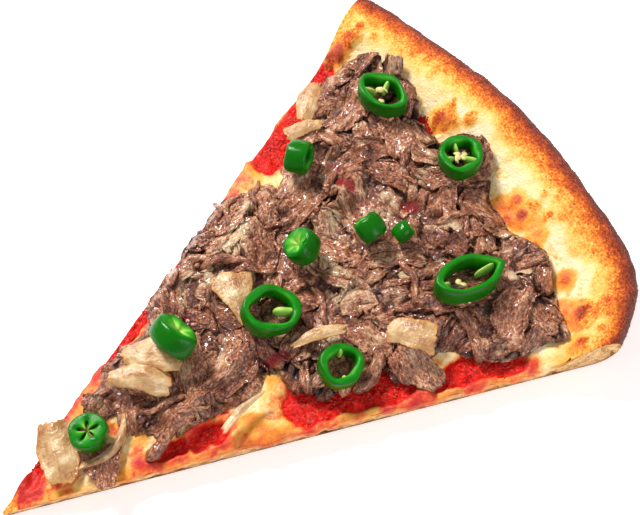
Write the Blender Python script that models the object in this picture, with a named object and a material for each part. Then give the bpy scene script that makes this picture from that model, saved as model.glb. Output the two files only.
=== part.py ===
"""A slice of pizza with shaved steak, onion and green pepper, at real size.

Lengths are in metres and +Z is up. A point of the slice is given by its distance along
the centre line from the tip, and across it; positive across is the far side. The slice
rests on its flat underside, and its origin is at the middle of its bounding box's base.
"""

import math

import bmesh
import bpy
from mathutils import Matrix, Vector, noise

MM = 0.001
GAP = 0.3 * MM  # between pieces that touch
UPWARDS = Vector((0, 0, 1))

# The slice in plan
SLICE_RADIUS = 177.5 * MM
HALF_ANGLE = math.radians(21.8)
CORNER_START = math.radians(-12.0)  # where the near corner begins to draw in
CORNER_DROP = 14.0 * MM
CORNER_POWER = 2.2
CENTRE_ALONG = SLICE_RADIUS / 2
CENTRE_ACROSS = 2.6 * MM

# The dough
TIP_THICKNESS = 2.6 * MM
BASE_THICKNESS = 5.0 * MM
TAPER_LENGTH = 60 * MM  # the base thins towards the tip over this length
RIM_HEIGHT = 16.0 * MM
RIM_SLOPE = 17.0 * MM  # from the foot of the rim to its crest
CREST_INSET = 11.0 * MM  # from the outline in to the crest
RIM_BELLY_HEIGHT = 8.5 * MM  # height of the widest place
RIM_FOOT_INSET = 5.0 * MM
RIM_WAVER = 0.5 * MM  # of the outline, in and out
RIM_SWELL = 0.5 * MM  # of the crest, up and down
DOUGH_COLUMNS = 18
TOP_SHARES = (0.05, 0.12, 0.2, 0.28, 0.37, 0.54, 0.7, 0.82, 0.895, 0.915, 0.935, 0.955, 0.98)
UNDERSIDE_SHARES = (0.3, 0.65, 0.9)

# The layers on the dough
SAUCE_THICKNESS = 0.9 * MM
SAUCE_ROWS = 10  # of TOP_SHARES, counted from the tip
CHEESE_THICKNESS = 1.4 * MM
CHEESE_ROWS = 12
LAYER_STACK = SAUCE_THICKNESS + CHEESE_THICKNESS + 3 * GAP
STACK_REACH = 2.2 * MM  # how far round a point the layers are cleared

# The heap of steak: its reach by share of the half angle, and its two edges by radius
HEAP_START = 31 * MM
HEAP_SPREAD = 0.9  # of the half angle, where the reach is read
HEAP_REACH = (
    (-0.9, 150), (-0.7, 152), (-0.5, 155), (-0.3, 150.5), (-0.15, 149.5), (0.0, 158),
    (0.13, 160.5), (0.25, 152), (0.36, 151.5), (0.5, 157), (0.66, 162), (0.8, 158.5), (0.9, 152),
)
HEAP_FAR_EDGE = (
    (31, 0.84), (50, 0.84), (57, 0.79), (64, 0.95), (84, 0.985), (98, 0.975), (107, 0.86),
    (113, 0.7), (124, 0.64), (138, 0.65), (146, 0.92), (150, 0.9),
)
HEAP_NEAR_EDGE = (
    (31, 0.55), (37, 0.4), (40, 0.15), (43, -0.3), (46, -0.52), (60, -0.55), (70, -0.5),
    (76, -0.35), (81, -0.74), (90, -0.82), (99, -0.62), (105, -0.9), (113, -0.75),
    (121, -0.74), (128, -0.9), (150, -0.9),
)
HEAP_ROWS = 36
HEAP_COLUMNS = 22
HEAP_EDGE = 1.6 * MM
HEAP_LEVEL = 9.6 * MM
HEAP_DOME = 5.0 * MM
CLUMP_SIZE = 11 * MM
CLUMP_HEIGHT = 1.5 * MM
HEAP_MARGIN = 0.15  # of the heap's width: a topping this near it lies on it
HEAP_TIP_MARGIN = 0.02  # of its length, at the end near the tip
SEAT_MARGIN = 5.8 * MM  # flattened round each topping
SEAT_BLEND = 3.0 * MM
SEAT_STEPS = 12  # places round a seat where it is tested
PEPPER_SINK = 1.5 * MM
LEANING_SINK = 3.0 * MM  # a piece that leans digs in deeper
FLAT_LEAN = math.radians(30)  # a pepper ring that leans less lies flat
ONION_SINK = 0.4 * MM

# Green pepper, in mm and degrees: along, across, length, width, height, wall (0 where the
# core is closed), pinch of the ends, turn, lean from upright, heading of the lean, lift
PEPPERS = {
    "pepper_ring_far": (145.0, 33.0, 15.4, 11.2, 5.4, 1.7, 0.30, -74, 5, 29, 0.0),
    "pepper_ring_rim": (149.8, 4.5, 12.2, 12.0, 4.8, 1.9, 0.0, 0, 5, 51, 0.0),
    "pepper_segment_far": (116.0, 32.3, 9.4, 9.0, 6.2, 1.5, 0.0, 0, 84, -70, 0.0),
    "pepper_chunk_middle": (117.8, 3.0, 8.2, 7.6, 6.6, 0.0, 0.0, 0, 66, 95, 0.0),
    "pepper_chunk_small": (124.6, -2.8, 5.8, 5.4, 5.2, 0.0, 0.0, 0, 66, -3, 0.0),
    "pepper_segment_middle": (100.0, 9.0, 10.0, 9.4, 6.0, 0.0, 0.0, 20, 36, 130, 0.0),
    "pepper_ring_middle": (82.5, -0.5, 15.6, 13.0, 5.2, 2.0, 0.05, -28, 14, -24, 0.0),
    "pepper_ring_large": (128.8, -24.3, 20.0, 11.4, 5.8, 1.9, 0.35, -14, 12, 40, 0.0),
    "pepper_segment_tip": (59.4, 8.2, 12.2, 9.8, 6.2, 0.0, 0.1, -79, 56, 12, 0.0),
    "pepper_ring_near": (88.5, -22.4, 11.8, 11.2, 4.6, 2.0, 0.0, 0, 12, -19, 0.0),
    "pepper_ring_tip": (28.8, 1.4, 10.8, 10.0, 4.8, 3.4, 0.0, 0, 3, 58, 2.7),
}
RING_SIDES = 18
RING_LOBES = 0.025  # how far a ring is from round, of its size
RING_CHAMFER = 0.5 * MM

# Onion, in mm and degrees: along, across, length, width, thickness, arch, taper, bow, turn
ONIONS = {
    "onion_wedge_far": (127.6, 45.8, 12.6, 5.0, 0.9, 1.2, 0.55, 0.4, 15),
    "onion_piece_segment": (122.8, 40.2, 9.6, 4.4, 0.9, 0.8, 0.3, 0.3, -18),
    "onion_sheet_middle": (77.0, 10.8, 10.4, 9.0, 0.9, 1.0, 0.35, 0.5, -60),
    "onion_fold_upper": (50.2, 9.2, 11.6, 7.6, 1.0, 2.0, 0.3, 0.6, -25),
    "onion_fold_lower": (43.2, 3.4, 13.2, 4.6, 1.0, 1.8, 0.45, 0.5, -52),
    "onion_sheet_tip": (20.6, 4.2, 17.0, 10.6, 0.9, 0.5, 0.45, 0.4, 10),
    "onion_strip_tip": (30.4, -1.5, 16.0, 2.6, 1.2, 0.5, 0.3, 3.4, -162.5),
    "onion_strip_near": (63.0, -16.8, 14.0, 2.8, 1.2, 0.9, 0.3, -0.8, -171),
    "onion_flap": (109.5, -25.8, 11.0, 6.0, 1.0, 1.6, 0.2, 0.4, -60),
    "onion_sliver": (92.8, -13.0, 12.6, 3.2, 1.0, 0.9, 0.4, 0.5, -19),
}
ONION_ROWS = 7
ONION_COLUMNS = 4

# Windows in the cheese, in mm and degrees: along, across, half length, half width, turn
WINDOWS = {
    "window_near_middle": (92, -33.0, 19, 5.5, -25),
    "window_near_rim": (119, -45.0, 8, 4.5, -22),
    "window_near_tip": (48.5, -16.5, 7, 3.4, -20),
    "window_far_long": (67, 28.0, 21, 3.6, 22),
    "window_far_short": (126, 51.5, 17, 3.8, 22),
    "window_rim": (152.5, 16.6, 4.0, 2.2, 70),
}
WINDOW_SIDES = 18
WINDOW_LOW = 3 * MM
WINDOW_HIGH = 20 * MM

# A loose scrap of steak by the tip
SCRAP = (27.2, -8.3, 7.2, 4.0, 1.6, 0.5, 0.35, 0.0, -14)


def smooth(t):
    """Eases from 0 to 1."""
    t = max(0.0, min(1.0, t))
    return t * t * (3 - 2 * t)


def interpolate(stations, t):
    """The value at t of a table of (t, value) rows, eased from row to row."""
    if t <= stations[0][0]:
        return stations[0][1]
    for (t0, value0), (t1, value1) in zip(stations, stations[1:]):
        if t <= t1:
            return value0 + (value1 - value0) * smooth((t - t0) / (t1 - t0))
    return stations[-1][1]


def place(along, across, height):
    """A point of the slice in the model's frame."""
    return Vector((along - CENTRE_ALONG, across - CENTRE_ACROSS, height))


def near_corner(angle):
    """0 along most of the rim, rising to 1 where the near corner draws in."""
    return max(0.0, (CORNER_START - angle) / (CORNER_START + HALF_ANGLE))


def outer_radius(angle):
    """Distance from the tip to the crust's outline, which wavers a little."""
    corner = near_corner(angle)
    waver = RIM_WAVER * (math.sin(17 * angle + 1.2) * (1 - min(1.0, corner)) - 1)
    return SLICE_RADIUS + waver - CORNER_DROP * corner**CORNER_POWER


def crest_radius(angle):
    """Distance from the tip to the rim's crest."""
    return outer_radius(angle) - CREST_INSET * (1 - 0.5 * near_corner(angle) ** 2)


def rim_height(angle):
    """The crest's height, which rises and dips along the rim."""
    return RIM_HEIGHT + RIM_SWELL * (math.sin(13 * angle) - 0.8 * math.cos(23 * angle))


def dough_top(radius, angle):
    """Height of the dough's upper face, from the tip to the crest."""
    base = TIP_THICKNESS + (BASE_THICKNESS - TIP_THICKNESS) * smooth(radius / TAPER_LENGTH)
    crest = crest_radius(angle)
    rise = smooth((radius - crest + RIM_SLOPE) / RIM_SLOPE)
    return base + (rim_height(angle) - base) * rise


def material(name, colour, roughness):
    """A plain finish that one kind of piece shares."""
    made = bpy.data.materials.new(name)
    made.use_nodes = True
    shader = made.node_tree.nodes["Principled BSDF"]
    shader.inputs["Base Color"].default_value = (*colour, 1.0)
    shader.inputs["Roughness"].default_value = roughness
    shader.inputs["Metallic"].default_value = 0.0
    return made


def add_object(name, mesh_data, finish, is_round=True):
    """Links a bmesh as a named object with its own finish."""
    bmesh.ops.recalc_face_normals(mesh_data, faces=mesh_data.faces)
    mesh = bpy.data.meshes.new(name)
    mesh_data.to_mesh(mesh)
    mesh_data.free()
    mesh.materials.append(finish)
    if is_round:
        mesh.shade_smooth()
        mesh.set_sharp_from_angle(angle=math.radians(40))
    made = bpy.data.objects.new(name, mesh)
    bpy.context.scene.collection.objects.link(made)
    return made


def slab(lower, upper):
    """A closed sheet between two grids of points that have the same rows and columns."""
    made = bmesh.new()
    low = [[made.verts.new(point) for point in row] for row in lower]
    high = [[made.verts.new(point) for point in row] for row in upper]
    rows = len(low) - 1
    columns = len(low[0]) - 1
    for i in range(rows):
        for j in range(columns):
            made.faces.new((high[i][j], high[i + 1][j], high[i + 1][j + 1], high[i][j + 1]))
            made.faces.new((low[i][j], low[i][j + 1], low[i + 1][j + 1], low[i + 1][j]))
    border = [(i, 0) for i in range(rows)]
    border += [(rows, j) for j in range(columns)]
    border += [(i, columns) for i in range(rows, 0, -1)]
    border += [(0, j) for j in range(columns, 0, -1)]
    for (i0, j0), (i1, j1) in zip(border, border[1:] + border[:1]):
        made.faces.new((low[i0][j0], low[i1][j1], high[i1][j1], high[i0][j0]))
    return made


def dough_profile(angle):
    """The dough's section along one radius as (radius, height), from underside to top."""
    outer = outer_radius(angle)
    crest = crest_radius(angle)
    height = rim_height(angle)
    foot = outer - RIM_FOOT_INSET
    points = [(share * foot, 0.0) for share in UNDERSIDE_SHARES]
    points.append((foot, 0.0))
    for turn in (30, 60, 90):
        lower = math.radians(turn)
        across = foot + (outer - foot) * math.sin(lower)
        points.append((across, RIM_BELLY_HEIGHT * (1 - math.cos(lower))))
    for turn in (25, 50, 72, 90):
        upper = math.radians(turn)
        across = crest + (outer - crest) * math.cos(upper) ** 0.9
        points.append((across, RIM_BELLY_HEIGHT + (height - RIM_BELLY_HEIGHT) * math.sin(upper)))
    for share in reversed(TOP_SHARES):
        points.append((share * crest, dough_top(share * crest, angle)))
    return points


def column_angles():
    """The angles of the dough's columns, from the near cut to the far one."""
    return [HALF_ANGLE * (2 * j / DOUGH_COLUMNS - 1) for j in range(DOUGH_COLUMNS + 1)]


def on_radius(radius, angle, height):
    """A point at a radius and an angle from the tip."""
    return place(radius * math.cos(angle), radius * math.sin(angle), height)


def make_dough(finish):
    """The base with its raised rim: one section for each column, closed at both cuts."""
    made = bmesh.new()
    tip_low = made.verts.new(place(0, 0, 0))
    tip_high = made.verts.new(place(0, 0, TIP_THICKNESS))
    columns = []
    for angle in column_angles():
        section = [on_radius(radius, angle, height) for radius, height in dough_profile(angle)]
        columns.append([made.verts.new(point) for point in section])
    for near, far in zip(columns, columns[1:]):
        made.faces.new((tip_low, far[0], near[0]))
        made.faces.new((tip_high, near[-1], far[-1]))
        for k in range(len(near) - 1):
            made.faces.new((near[k], far[k], far[k + 1], near[k + 1]))
    made.faces.new([tip_low, *columns[0], tip_high])
    made.faces.new([tip_high, *reversed(columns[-1]), tip_low])
    return add_object("dough", made, finish)


def layer(rows, lift, thickness):
    """A sheet that follows the dough's top, flush with both cuts."""
    lower = []
    upper = []
    for share in TOP_SHARES[:rows]:
        low_row = []
        high_row = []
        for angle in column_angles():
            radius = share * crest_radius(angle)
            height = dough_top(radius, angle) + lift
            low_row.append(on_radius(radius, angle, height))
            high_row.append(on_radius(radius, angle, height + thickness))
        lower.append(low_row)
        upper.append(high_row)
    return slab(lower, upper)


def window_cutter(name, window):
    """A rounded prism that opens the cheese down to the sauce."""
    along, across, half_length, half_width, turn = window
    made = bmesh.new()
    rings = []
    for height in (WINDOW_LOW, WINDOW_HIGH):
        ring = []
        for side in range(WINDOW_SIDES):
            angle = math.tau * side / WINDOW_SIDES
            ripple = 1 + 0.12 * math.sin(3 * angle + along) + 0.06 * math.sin(7 * angle)
            local = Vector((half_length * math.cos(angle), half_width * math.sin(angle), 0))
            local = Matrix.Rotation(math.radians(turn), 3, "Z") @ (local * ripple * MM)
            ring.append(made.verts.new(place(along * MM, across * MM, height) + local))
        rings.append(ring)
    made.faces.new(rings[0])
    made.faces.new(rings[1])
    for k in range(WINDOW_SIDES):
        after = (k + 1) % WINDOW_SIDES
        made.faces.new((rings[0][k], rings[0][after], rings[1][after], rings[1][k]))
    cutter = add_object(name, made, None, is_round=False)
    cutter.hide_render = True
    cutter.display_type = "WIRE"
    return cutter


def make_sauce(finish):
    """The tomato sauce, a thin layer that shows at both cuts."""
    return add_object("sauce", layer(SAUCE_ROWS, GAP, SAUCE_THICKNESS), finish)


def make_cheese(finish):
    """The melted cheese over the sauce, open where the sauce shows."""
    lift = SAUCE_THICKNESS + 2 * GAP
    cheese = add_object("cheese", layer(CHEESE_ROWS, lift, CHEESE_THICKNESS), finish)
    for name, window in WINDOWS.items():
        cut = cheese.modifiers.new(name, "BOOLEAN")
        cut.operation = "DIFFERENCE"
        cut.object = window_cutter(name, window)
    return cheese


def stack_top(along, across):
    """Height that clears the cheese under a point and just around it."""
    highest = 0.0
    directions = 8
    for step in range(directions + 1):
        angle = math.tau * step / directions
        distance = STACK_REACH if step < directions else 0.0
        x = max(along + distance * math.cos(angle), MM)
        y = across + distance * math.sin(angle)
        radius = math.hypot(x, y)
        bearing = max(-HALF_ANGLE, min(HALF_ANGLE, math.atan2(y, x)))
        highest = max(highest, dough_top(min(radius, crest_radius(bearing)), bearing))
    return highest + LAYER_STACK


def clumps(along, across):
    """Height of the steak's uneven clumps."""
    point = Vector((along / CLUMP_SIZE, across / CLUMP_SIZE, 0.7))
    return CLUMP_HEIGHT * (noise.noise(point) + 0.5 * noise.noise(point * 2.1))


def heap_top(along, across, middle):
    """Height of the steak before the toppings press into it; middle is 0 at its outline."""
    dome = HEAP_LEVEL + HEAP_DOME * math.sqrt(middle) + clumps(along, across)
    return max(stack_top(along, across) + HEAP_EDGE, dome)


class Seat:
    """The flat place on which a topping lies, which it presses into the steak."""

    def __init__(self, centre, length, width, turn, normal):
        self.centre = centre - GAP * UPWARDS
        self.half_length = length / 2
        self.half_width = width / 2
        self.turn = turn
        self.normal = normal

    def height(self, point):
        """Height of the seat's plane over a point."""
        away = point - self.centre
        return self.centre.z - (self.normal.x * away.x + self.normal.y * away.y) / self.normal.z

    def hold(self, point):
        """How far a point belongs to the seat, from 0 to 1."""
        away = Matrix.Rotation(-self.turn, 3, "Z") @ (point - self.centre)
        outside = max(abs(away.x) - self.half_length, abs(away.y) - self.half_width)
        return smooth(1 - (outside - SEAT_MARGIN) / SEAT_BLEND)

    def clear_cheese(self):
        """Lifts the seat until it clears the cheese all round, and returns the lift."""
        short = 0.0
        for step in range(SEAT_STEPS):
            bearing = math.tau * step / SEAT_STEPS
            x = self.half_length * math.cos(bearing)
            y = self.half_width * math.sin(bearing)
            point = self.centre + Matrix.Rotation(self.turn, 3, "Z") @ Vector((x, y, 0))
            floor = stack_top(point.x + CENTRE_ALONG, point.y + CENTRE_ACROSS)
            short = max(short, floor + self.footing(point) - self.height(point))
        self.centre = self.centre + short * UPWARDS
        return short * UPWARDS

    def footing(self, point):
        """Thickness of steak that stays under the seat at a point."""
        side, out = heap_place(point.x + CENTRE_ALONG, point.y + CENTRE_ACROSS)
        return HEAP_EDGE / 2 if is_on_heap(side, out, -HEAP_TIP_MARGIN) else 0.0


def heap_place(along, across):
    """Where a point lies in the heap: from its near edge to its far one, and outwards."""
    radius = math.hypot(along, across)
    share = math.atan2(across, along) / HALF_ANGLE
    near = interpolate(HEAP_NEAR_EDGE, radius / MM)
    far = interpolate(HEAP_FAR_EDGE, radius / MM)
    reach = interpolate(HEAP_REACH, share) * MM
    return (share - near) / (far - near), (radius - HEAP_START) / (reach - HEAP_START)


def is_on_heap(side, out, start):
    """Whether a place lies on the heap, from a start near its tip to just past its edges."""
    return -HEAP_MARGIN < side < 1 + HEAP_MARGIN and start < out < 1 + HEAP_MARGIN


def heap_middle(side, out):
    """1 in the heap's middle, falling to 0 at its outline."""
    return max(0.0, 1 - abs(2 * side - 1) ** 3) * max(0.0, 1 - abs(2 * out - 1) ** 10)


def rest_height(along, across, sink):
    """Height at which a topping lies, on the steak or on the cheese."""
    side, out = heap_place(along, across)
    if is_on_heap(side, out, 0.0):
        middle = max(HEAP_MARGIN, heap_middle(side, out))
        return heap_top(along, across, middle) - sink
    return stack_top(along, across)


def pepper_pose(values):
    """A pepper piece's matrix and its seat."""
    along, across, length, width, height = (value * MM for value in values[:5])
    turn, lean, heading = (math.radians(value) for value in values[7:10])
    tilt_axis = Vector((-math.sin(heading), math.cos(heading), 0))
    turned = Matrix.Rotation(lean, 4, tilt_axis) @ Matrix.Rotation(turn, 4, "Z")
    bearing = heading - turn
    reach = math.hypot(length / 2 * math.cos(bearing), width / 2 * math.sin(bearing))
    sink = PEPPER_SINK if lean < FLAT_LEAN else LEANING_SINK
    centre = place(along, across, rest_height(along, across, sink) + values[10] * MM)
    if lean < FLAT_LEAN:
        normal = turned.to_3x3() @ UPWARDS
        centre += reach * math.sin(lean) * UPWARDS
        seat = Seat(centre, length, width, turn, normal)
        centre += normal * height / 2
    else:
        seat = Seat(centre, length, length, heading, UPWARDS)
        centre += (length / 2 * math.sin(lean) + height / 2 * math.cos(lean)) * UPWARDS
    centre += seat.clear_cheese()
    return Matrix.Translation(centre) @ turned, seat


def petal_pose(values):
    """The matrix and the seat of a sheet that lies level on whatever is under it."""
    along, across, length, width = (value * MM for value in values[:4])
    turn = math.radians(values[-1])
    centre = place(along, across, rest_height(along, across, ONION_SINK))
    seat = Seat(centre, length, width, turn, UPWARDS)
    centre += seat.clear_cheese()
    return Matrix.Translation(centre) @ Matrix.Rotation(turn, 4, "Z"), seat


def make_steak_heap(finish, seats):
    """The steak: an uneven heap with a seat under each topping."""
    lower = []
    upper = []
    for i in range(HEAP_ROWS + 1):
        low_row = []
        high_row = []
        out = i / HEAP_ROWS
        for j in range(HEAP_COLUMNS + 1):
            side = j / HEAP_COLUMNS
            reach = interpolate(HEAP_REACH, (2 * side - 1) * HEAP_SPREAD) * MM
            radius = HEAP_START + (reach - HEAP_START) * out
            near = interpolate(HEAP_NEAR_EDGE, radius / MM)
            far = interpolate(HEAP_FAR_EDGE, radius / MM)
            angle = HALF_ANGLE * (near + (far - near) * side)
            along = radius * math.cos(angle)
            across = radius * math.sin(angle)
            floor = stack_top(along, across)
            point = place(along, across, floor)
            height = heap_top(along, across, heap_middle(side, out))
            for seat in seats:
                hold = seat.hold(point)
                height += (min(height, seat.height(point)) - height) * hold
            low_row.append(point)
            high_row.append(place(along, across, max(height, floor + HEAP_EDGE / 4)))
        lower.append(low_row)
        upper.append(high_row)
    return add_object("steak_heap", slab(lower, upper), finish)


def ring_outline(length, width, pinch, inset):
    """A rounded outline, drawn to a point at its ends where pinch is above 0."""
    points = []
    for side in range(RING_SIDES):
        angle = math.tau * side / RING_SIDES
        sine = math.sin(angle)
        lobe = 1 + RING_LOBES * math.cos(3 * angle + 0.6)
        x = (length / 2 - inset) * math.cos(angle) * lobe
        y = (width / 2 - inset) * math.copysign(abs(sine) ** (1 + pinch), sine) * lobe
        points.append(Vector((x, y, 0)))
    return points


def pepper_shape(length, width, height, wall, pinch):
    """A slice of pepper: a ring with rounded edges, or closed by its core."""
    made = bmesh.new()
    rise = height / 2
    section = [(RING_CHAMFER, -rise), (0.0, RING_CHAMFER - rise)]
    section += [(0.0, rise - RING_CHAMFER), (RING_CHAMFER, rise)]
    if wall:
        section += [(wall, rise), (wall, -rise)]
    loops = []
    for inset, level in section:
        outline = ring_outline(length, width, pinch, inset)
        loops.append([made.verts.new(point + Vector((0, 0, level))) for point in outline])
    pairs = list(zip(loops, loops[1:]))
    if wall:
        pairs.append((loops[-1], loops[0]))
    else:
        made.faces.new(loops[0])
        made.faces.new(loops[-1])
    for first, second in pairs:
        for k in range(RING_SIDES):
            after = (k + 1) % RING_SIDES
            made.faces.new((first[k], first[after], second[after], second[k]))
    return made


def make_pepper(name, values, matrix, finish):
    """One piece of green pepper."""
    length, width, height, wall = (value * MM for value in values[2:6])
    shape = pepper_shape(length, width, height, wall, values[6])
    bmesh.ops.transform(shape, matrix=matrix, verts=shape.verts)
    return add_object(name, shape, finish)


def make_petal(name, values, matrix, finish):
    """A curved, tapering sheet, such as a piece of an onion's layer."""
    length, width, thickness, arch, taper, bow = values[2:8]
    lower = []
    upper = []
    for i in range(ONION_ROWS + 1):
        low_row = []
        high_row = []
        end = 2 * i / ONION_ROWS - 1
        half = width / 2 * (1 - taper * end * end)
        for j in range(ONION_COLUMNS + 1):
            side = 2 * j / ONION_COLUMNS - 1
            rise = arch * (1 - side * side) * (1 - 0.5 * end * end)
            x = end * length / 2
            y = side * half + bow * (1 - end * end)
            low_row.append(Vector((x, y, rise)) * MM)
            high_row.append(Vector((x, y, rise + thickness)) * MM)
        lower.append(low_row)
        upper.append(high_row)
    shape = slab(lower, upper)
    bmesh.ops.transform(shape, matrix=matrix, verts=shape.verts)
    return add_object(name, shape, finish)


def clear_scene():
    """Removes whatever objects the file opens with."""
    for old in list(bpy.data.objects):
        bpy.data.objects.remove(old, do_unlink=True)


def main():
    clear_scene()
    crust = material("crust", (0.80, 0.52, 0.22), 0.75)
    tomato = material("tomato_sauce", (0.50, 0.02, 0.01), 0.35)
    melted = material("melted_cheese", (0.86, 0.62, 0.28), 0.40)
    steak = material("steak", (0.24, 0.12, 0.08), 0.50)
    green = material("green_pepper", (0.02, 0.22, 0.01), 0.25)
    onion = material("onion", (0.56, 0.44, 0.19), 0.35)

    make_dough(crust)
    make_sauce(tomato)
    make_cheese(melted)
    seats = []
    for name, values in PEPPERS.items():
        matrix, seat = pepper_pose(values)
        seats.append(seat)
        make_pepper(name, values, matrix, green)
    for name, values in ONIONS.items():
        matrix, seat = petal_pose(values)
        seats.append(seat)
        make_petal(name, values, matrix, onion)
    matrix, seat = petal_pose(SCRAP)
    seats.append(seat)
    make_petal("steak_scrap", SCRAP, matrix, steak)
    make_steak_heap(steak, seats)


main()
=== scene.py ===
"""A cheesesteak pizza slice: crust, sauce, cheese, shaved steak, green pepper and onion.

Places on the slice are in millimetres: along its centre line from the tip, across it
(positive towards the far cut), and up from its flat underside.
"""

import math

import bpy
import numpy as np
from bpy.props import FloatProperty, FloatVectorProperty, IntProperty, PointerProperty
from mathutils import Matrix, Vector
from mathutils.bvhtree import BVHTree


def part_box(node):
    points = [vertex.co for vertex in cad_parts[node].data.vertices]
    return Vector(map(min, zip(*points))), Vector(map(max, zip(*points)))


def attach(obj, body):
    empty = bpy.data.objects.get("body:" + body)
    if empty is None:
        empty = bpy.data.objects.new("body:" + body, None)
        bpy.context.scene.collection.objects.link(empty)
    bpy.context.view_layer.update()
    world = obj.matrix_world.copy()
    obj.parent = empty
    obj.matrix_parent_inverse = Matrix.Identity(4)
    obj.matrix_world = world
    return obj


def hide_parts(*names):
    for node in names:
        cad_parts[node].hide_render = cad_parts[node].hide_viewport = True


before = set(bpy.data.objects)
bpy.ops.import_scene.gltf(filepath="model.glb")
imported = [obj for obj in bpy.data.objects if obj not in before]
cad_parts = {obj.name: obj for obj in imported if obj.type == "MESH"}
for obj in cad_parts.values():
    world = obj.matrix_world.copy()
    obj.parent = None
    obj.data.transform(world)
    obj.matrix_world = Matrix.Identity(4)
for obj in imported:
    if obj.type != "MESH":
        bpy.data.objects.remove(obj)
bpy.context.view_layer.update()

bl_info = {
    "name": "Cheesesteak Pizza Slice",
    "version": (1, 0, 0),
    "blender": (4, 5, 0),
    "location": "3D View > Sidebar > Pizza",
    "description": "Makes the crust, layers and toppings of a pizza slice",
    "category": "Mesh",
}

MM = 0.001
CENTRE_ALONG = -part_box("dough")[0].x / MM
CENTRE_ACROSS = 2.6

# The slice, as the model has it
SLICE_RADIUS = 177.5
HALF_ANGLE = math.radians(21.8)
CORNER_START = math.radians(-12.0)
CORNER_DROP = 14.0
CORNER_POWER = 2.2
TIP_THICKNESS = 2.6
BASE_THICKNESS = 5.0
TAPER_LENGTH = 60.0
RIM_HEIGHT = 16.0
RIM_SLOPE = 17.0
CREST_INSET = 11.0
RIM_BELLY_HEIGHT = 8.5
RIM_FOOT_INSET = 5.0
RIM_WAVER = 0.5
RIM_SWELL = 0.5
SAUCE_LIFT = 0.3
SAUCE_THICKNESS = 0.9
CHEESE_LIFT = 1.5
CHEESE_THICKNESS = 1.4

# Openings in the cheese: along, across, half length, half width, turn in degrees
WINDOWS = (
    (82.0, -26.0, 11, 6.4, -28), (94.0, -31.5, 11, 4.6, -20), (101.0, -30.0, 5, 3.4, -40),
    (111.0, -40.4, 4.0, 2.4, -20), (120.0, -43.6, 9.5, 4.4, -32), (42.0, -12.6, 3.8, 1.9, -15),
    (53.0, -15.8, 4.2, 2.6, -12), (64.0, 26.4, 22, 3.6, 22), (114.6, 41.4, 8, 4.2, 18),
    (125.0, 45.8, 8, 3.2, 25), (140.0, 53.6, 3.6, 2.2, 10), (129.4, 39.0, 5.0, 2.0, -60),
    (152.8, 21.0, 3.4, 1.9, 70), (13.2, 4.6, 3.0, 1.2, 45),
)
# Cheese and dough baked golden: along, across, half length, half width, turn, how brown
GILDED = (
    (155.0, -15.5, 9.0, 5.0, -65, 0.45), (157.0, 18.6, 5.0, 3.6, 20, 0.5), (147.6, -46.8, 6.6, 5.0, -60, 0.5),
    (154.2, -52.0, 5.0, 3.8, 70, 0.46), (141.6, -54.4, 4.0, 2.8, 0, 0.52), (152.2, -37.3, 3.4, 2.8, 0, 0.46),
    (157.6, -44.4, 3.6, 2.8, 30, 0.34), (162.0, -24.6, 2.6, 2.2, 0, 0.44), (161.4, 13.4, 2.6, 2.0, 0, 0.46),
    (149.5, 55.2, 6.5, 3.0, 5, 0.6), (151.2, -26.0, 3.4, 2.6, 0, 0.44), (149.0, -8.0, 4.0, 2.4, -70, 0.42),
    (144.8, 54.6, 4.0, 3.0, 10, 0.66), (37.8, -6.6, 3.6, 2.6, 0, 0.42), (64.0, -18.6, 5.0, 2.2, -16, 0.4),
)
# Where steak spreads past the heap's own outline: along, across, half length, half width, turn
SPREADS = (
    (136.0, 44.0, 9.0, 6.2, 30), (126.0, 33.0, 9.5, 5.5, -50), (117.0, 30.0, 5.0, 3.0, 20),
    (45.0, 11.5, 9.0, 4.5, 18), (36.0, 8.0, 6.0, 4.6, 20), (42.0, 0.0, 6.5, 6.0, 0),
)
# Blisters baked on the rim: along, across, radius, height, scorch from 0 to 1
BLISTERS = (
    (156.1, 19.8, 3.0, 0.9, 0.72), (161.4, 13.1, 1.7, 0.4, 0.5), (158.0, 16.0, 1.6, 0.4, 0.5),
    (151.4, -10.6, 2.6, 0.5, 0.46), (150.0, -6.5, 2.0, 0.4, 0.42), (156.8, -12.4, 2.6, 0.7, 0.66),
    (155.0, -16.6, 2.9, 0.8, 0.78), (152.0, -14.6, 2.2, 0.6, 0.7), (154.6, -23.6, 2.6, 0.5, 0.48),
    (151.8, -25.6, 2.0, 0.4, 0.44), (160.0, -21.7, 1.7, 0.4, 0.6), (162.6, -16.6, 1.2, 0.2, 0.5),
    (151.9, -38.0, 2.4, 0.6, 0.66), (148.8, -47.8, 3.8, 1.1, 0.82), (146.0, -44.6, 2.0, 0.4, 0.55),
    (154.9, -49.8, 2.4, 0.5, 0.66), (157.8, -51.2, 2.2, 0.4, 0.66), (152.6, -52.6, 1.8, 0.4, 0.6),
    (143.5, -53.7, 2.6, 0.5, 0.74), (148.6, -54.4, 2.0, 0.4, 0.6), (161.1, -44.3, 3.0, 0.2, 0.36),
    (158.5, -33.5, 1.6, 0.2, 0.34), (161.7, 30.8, 1.7, 0.3, 0.46), (155.2, 56.0, 2.2, 0.4, 0.6),
    (156.5, 51.0, 1.3, 0.3, 0.5), (143.6, 55.6, 2.4, 1.0, 0.82), (147.0, 55.2, 2.4, 1.0, 0.78),
    (150.4, 54.8, 2.0, 0.8, 0.66), (153.0, 54.2, 1.6, 0.5, 0.55),
)
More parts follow.
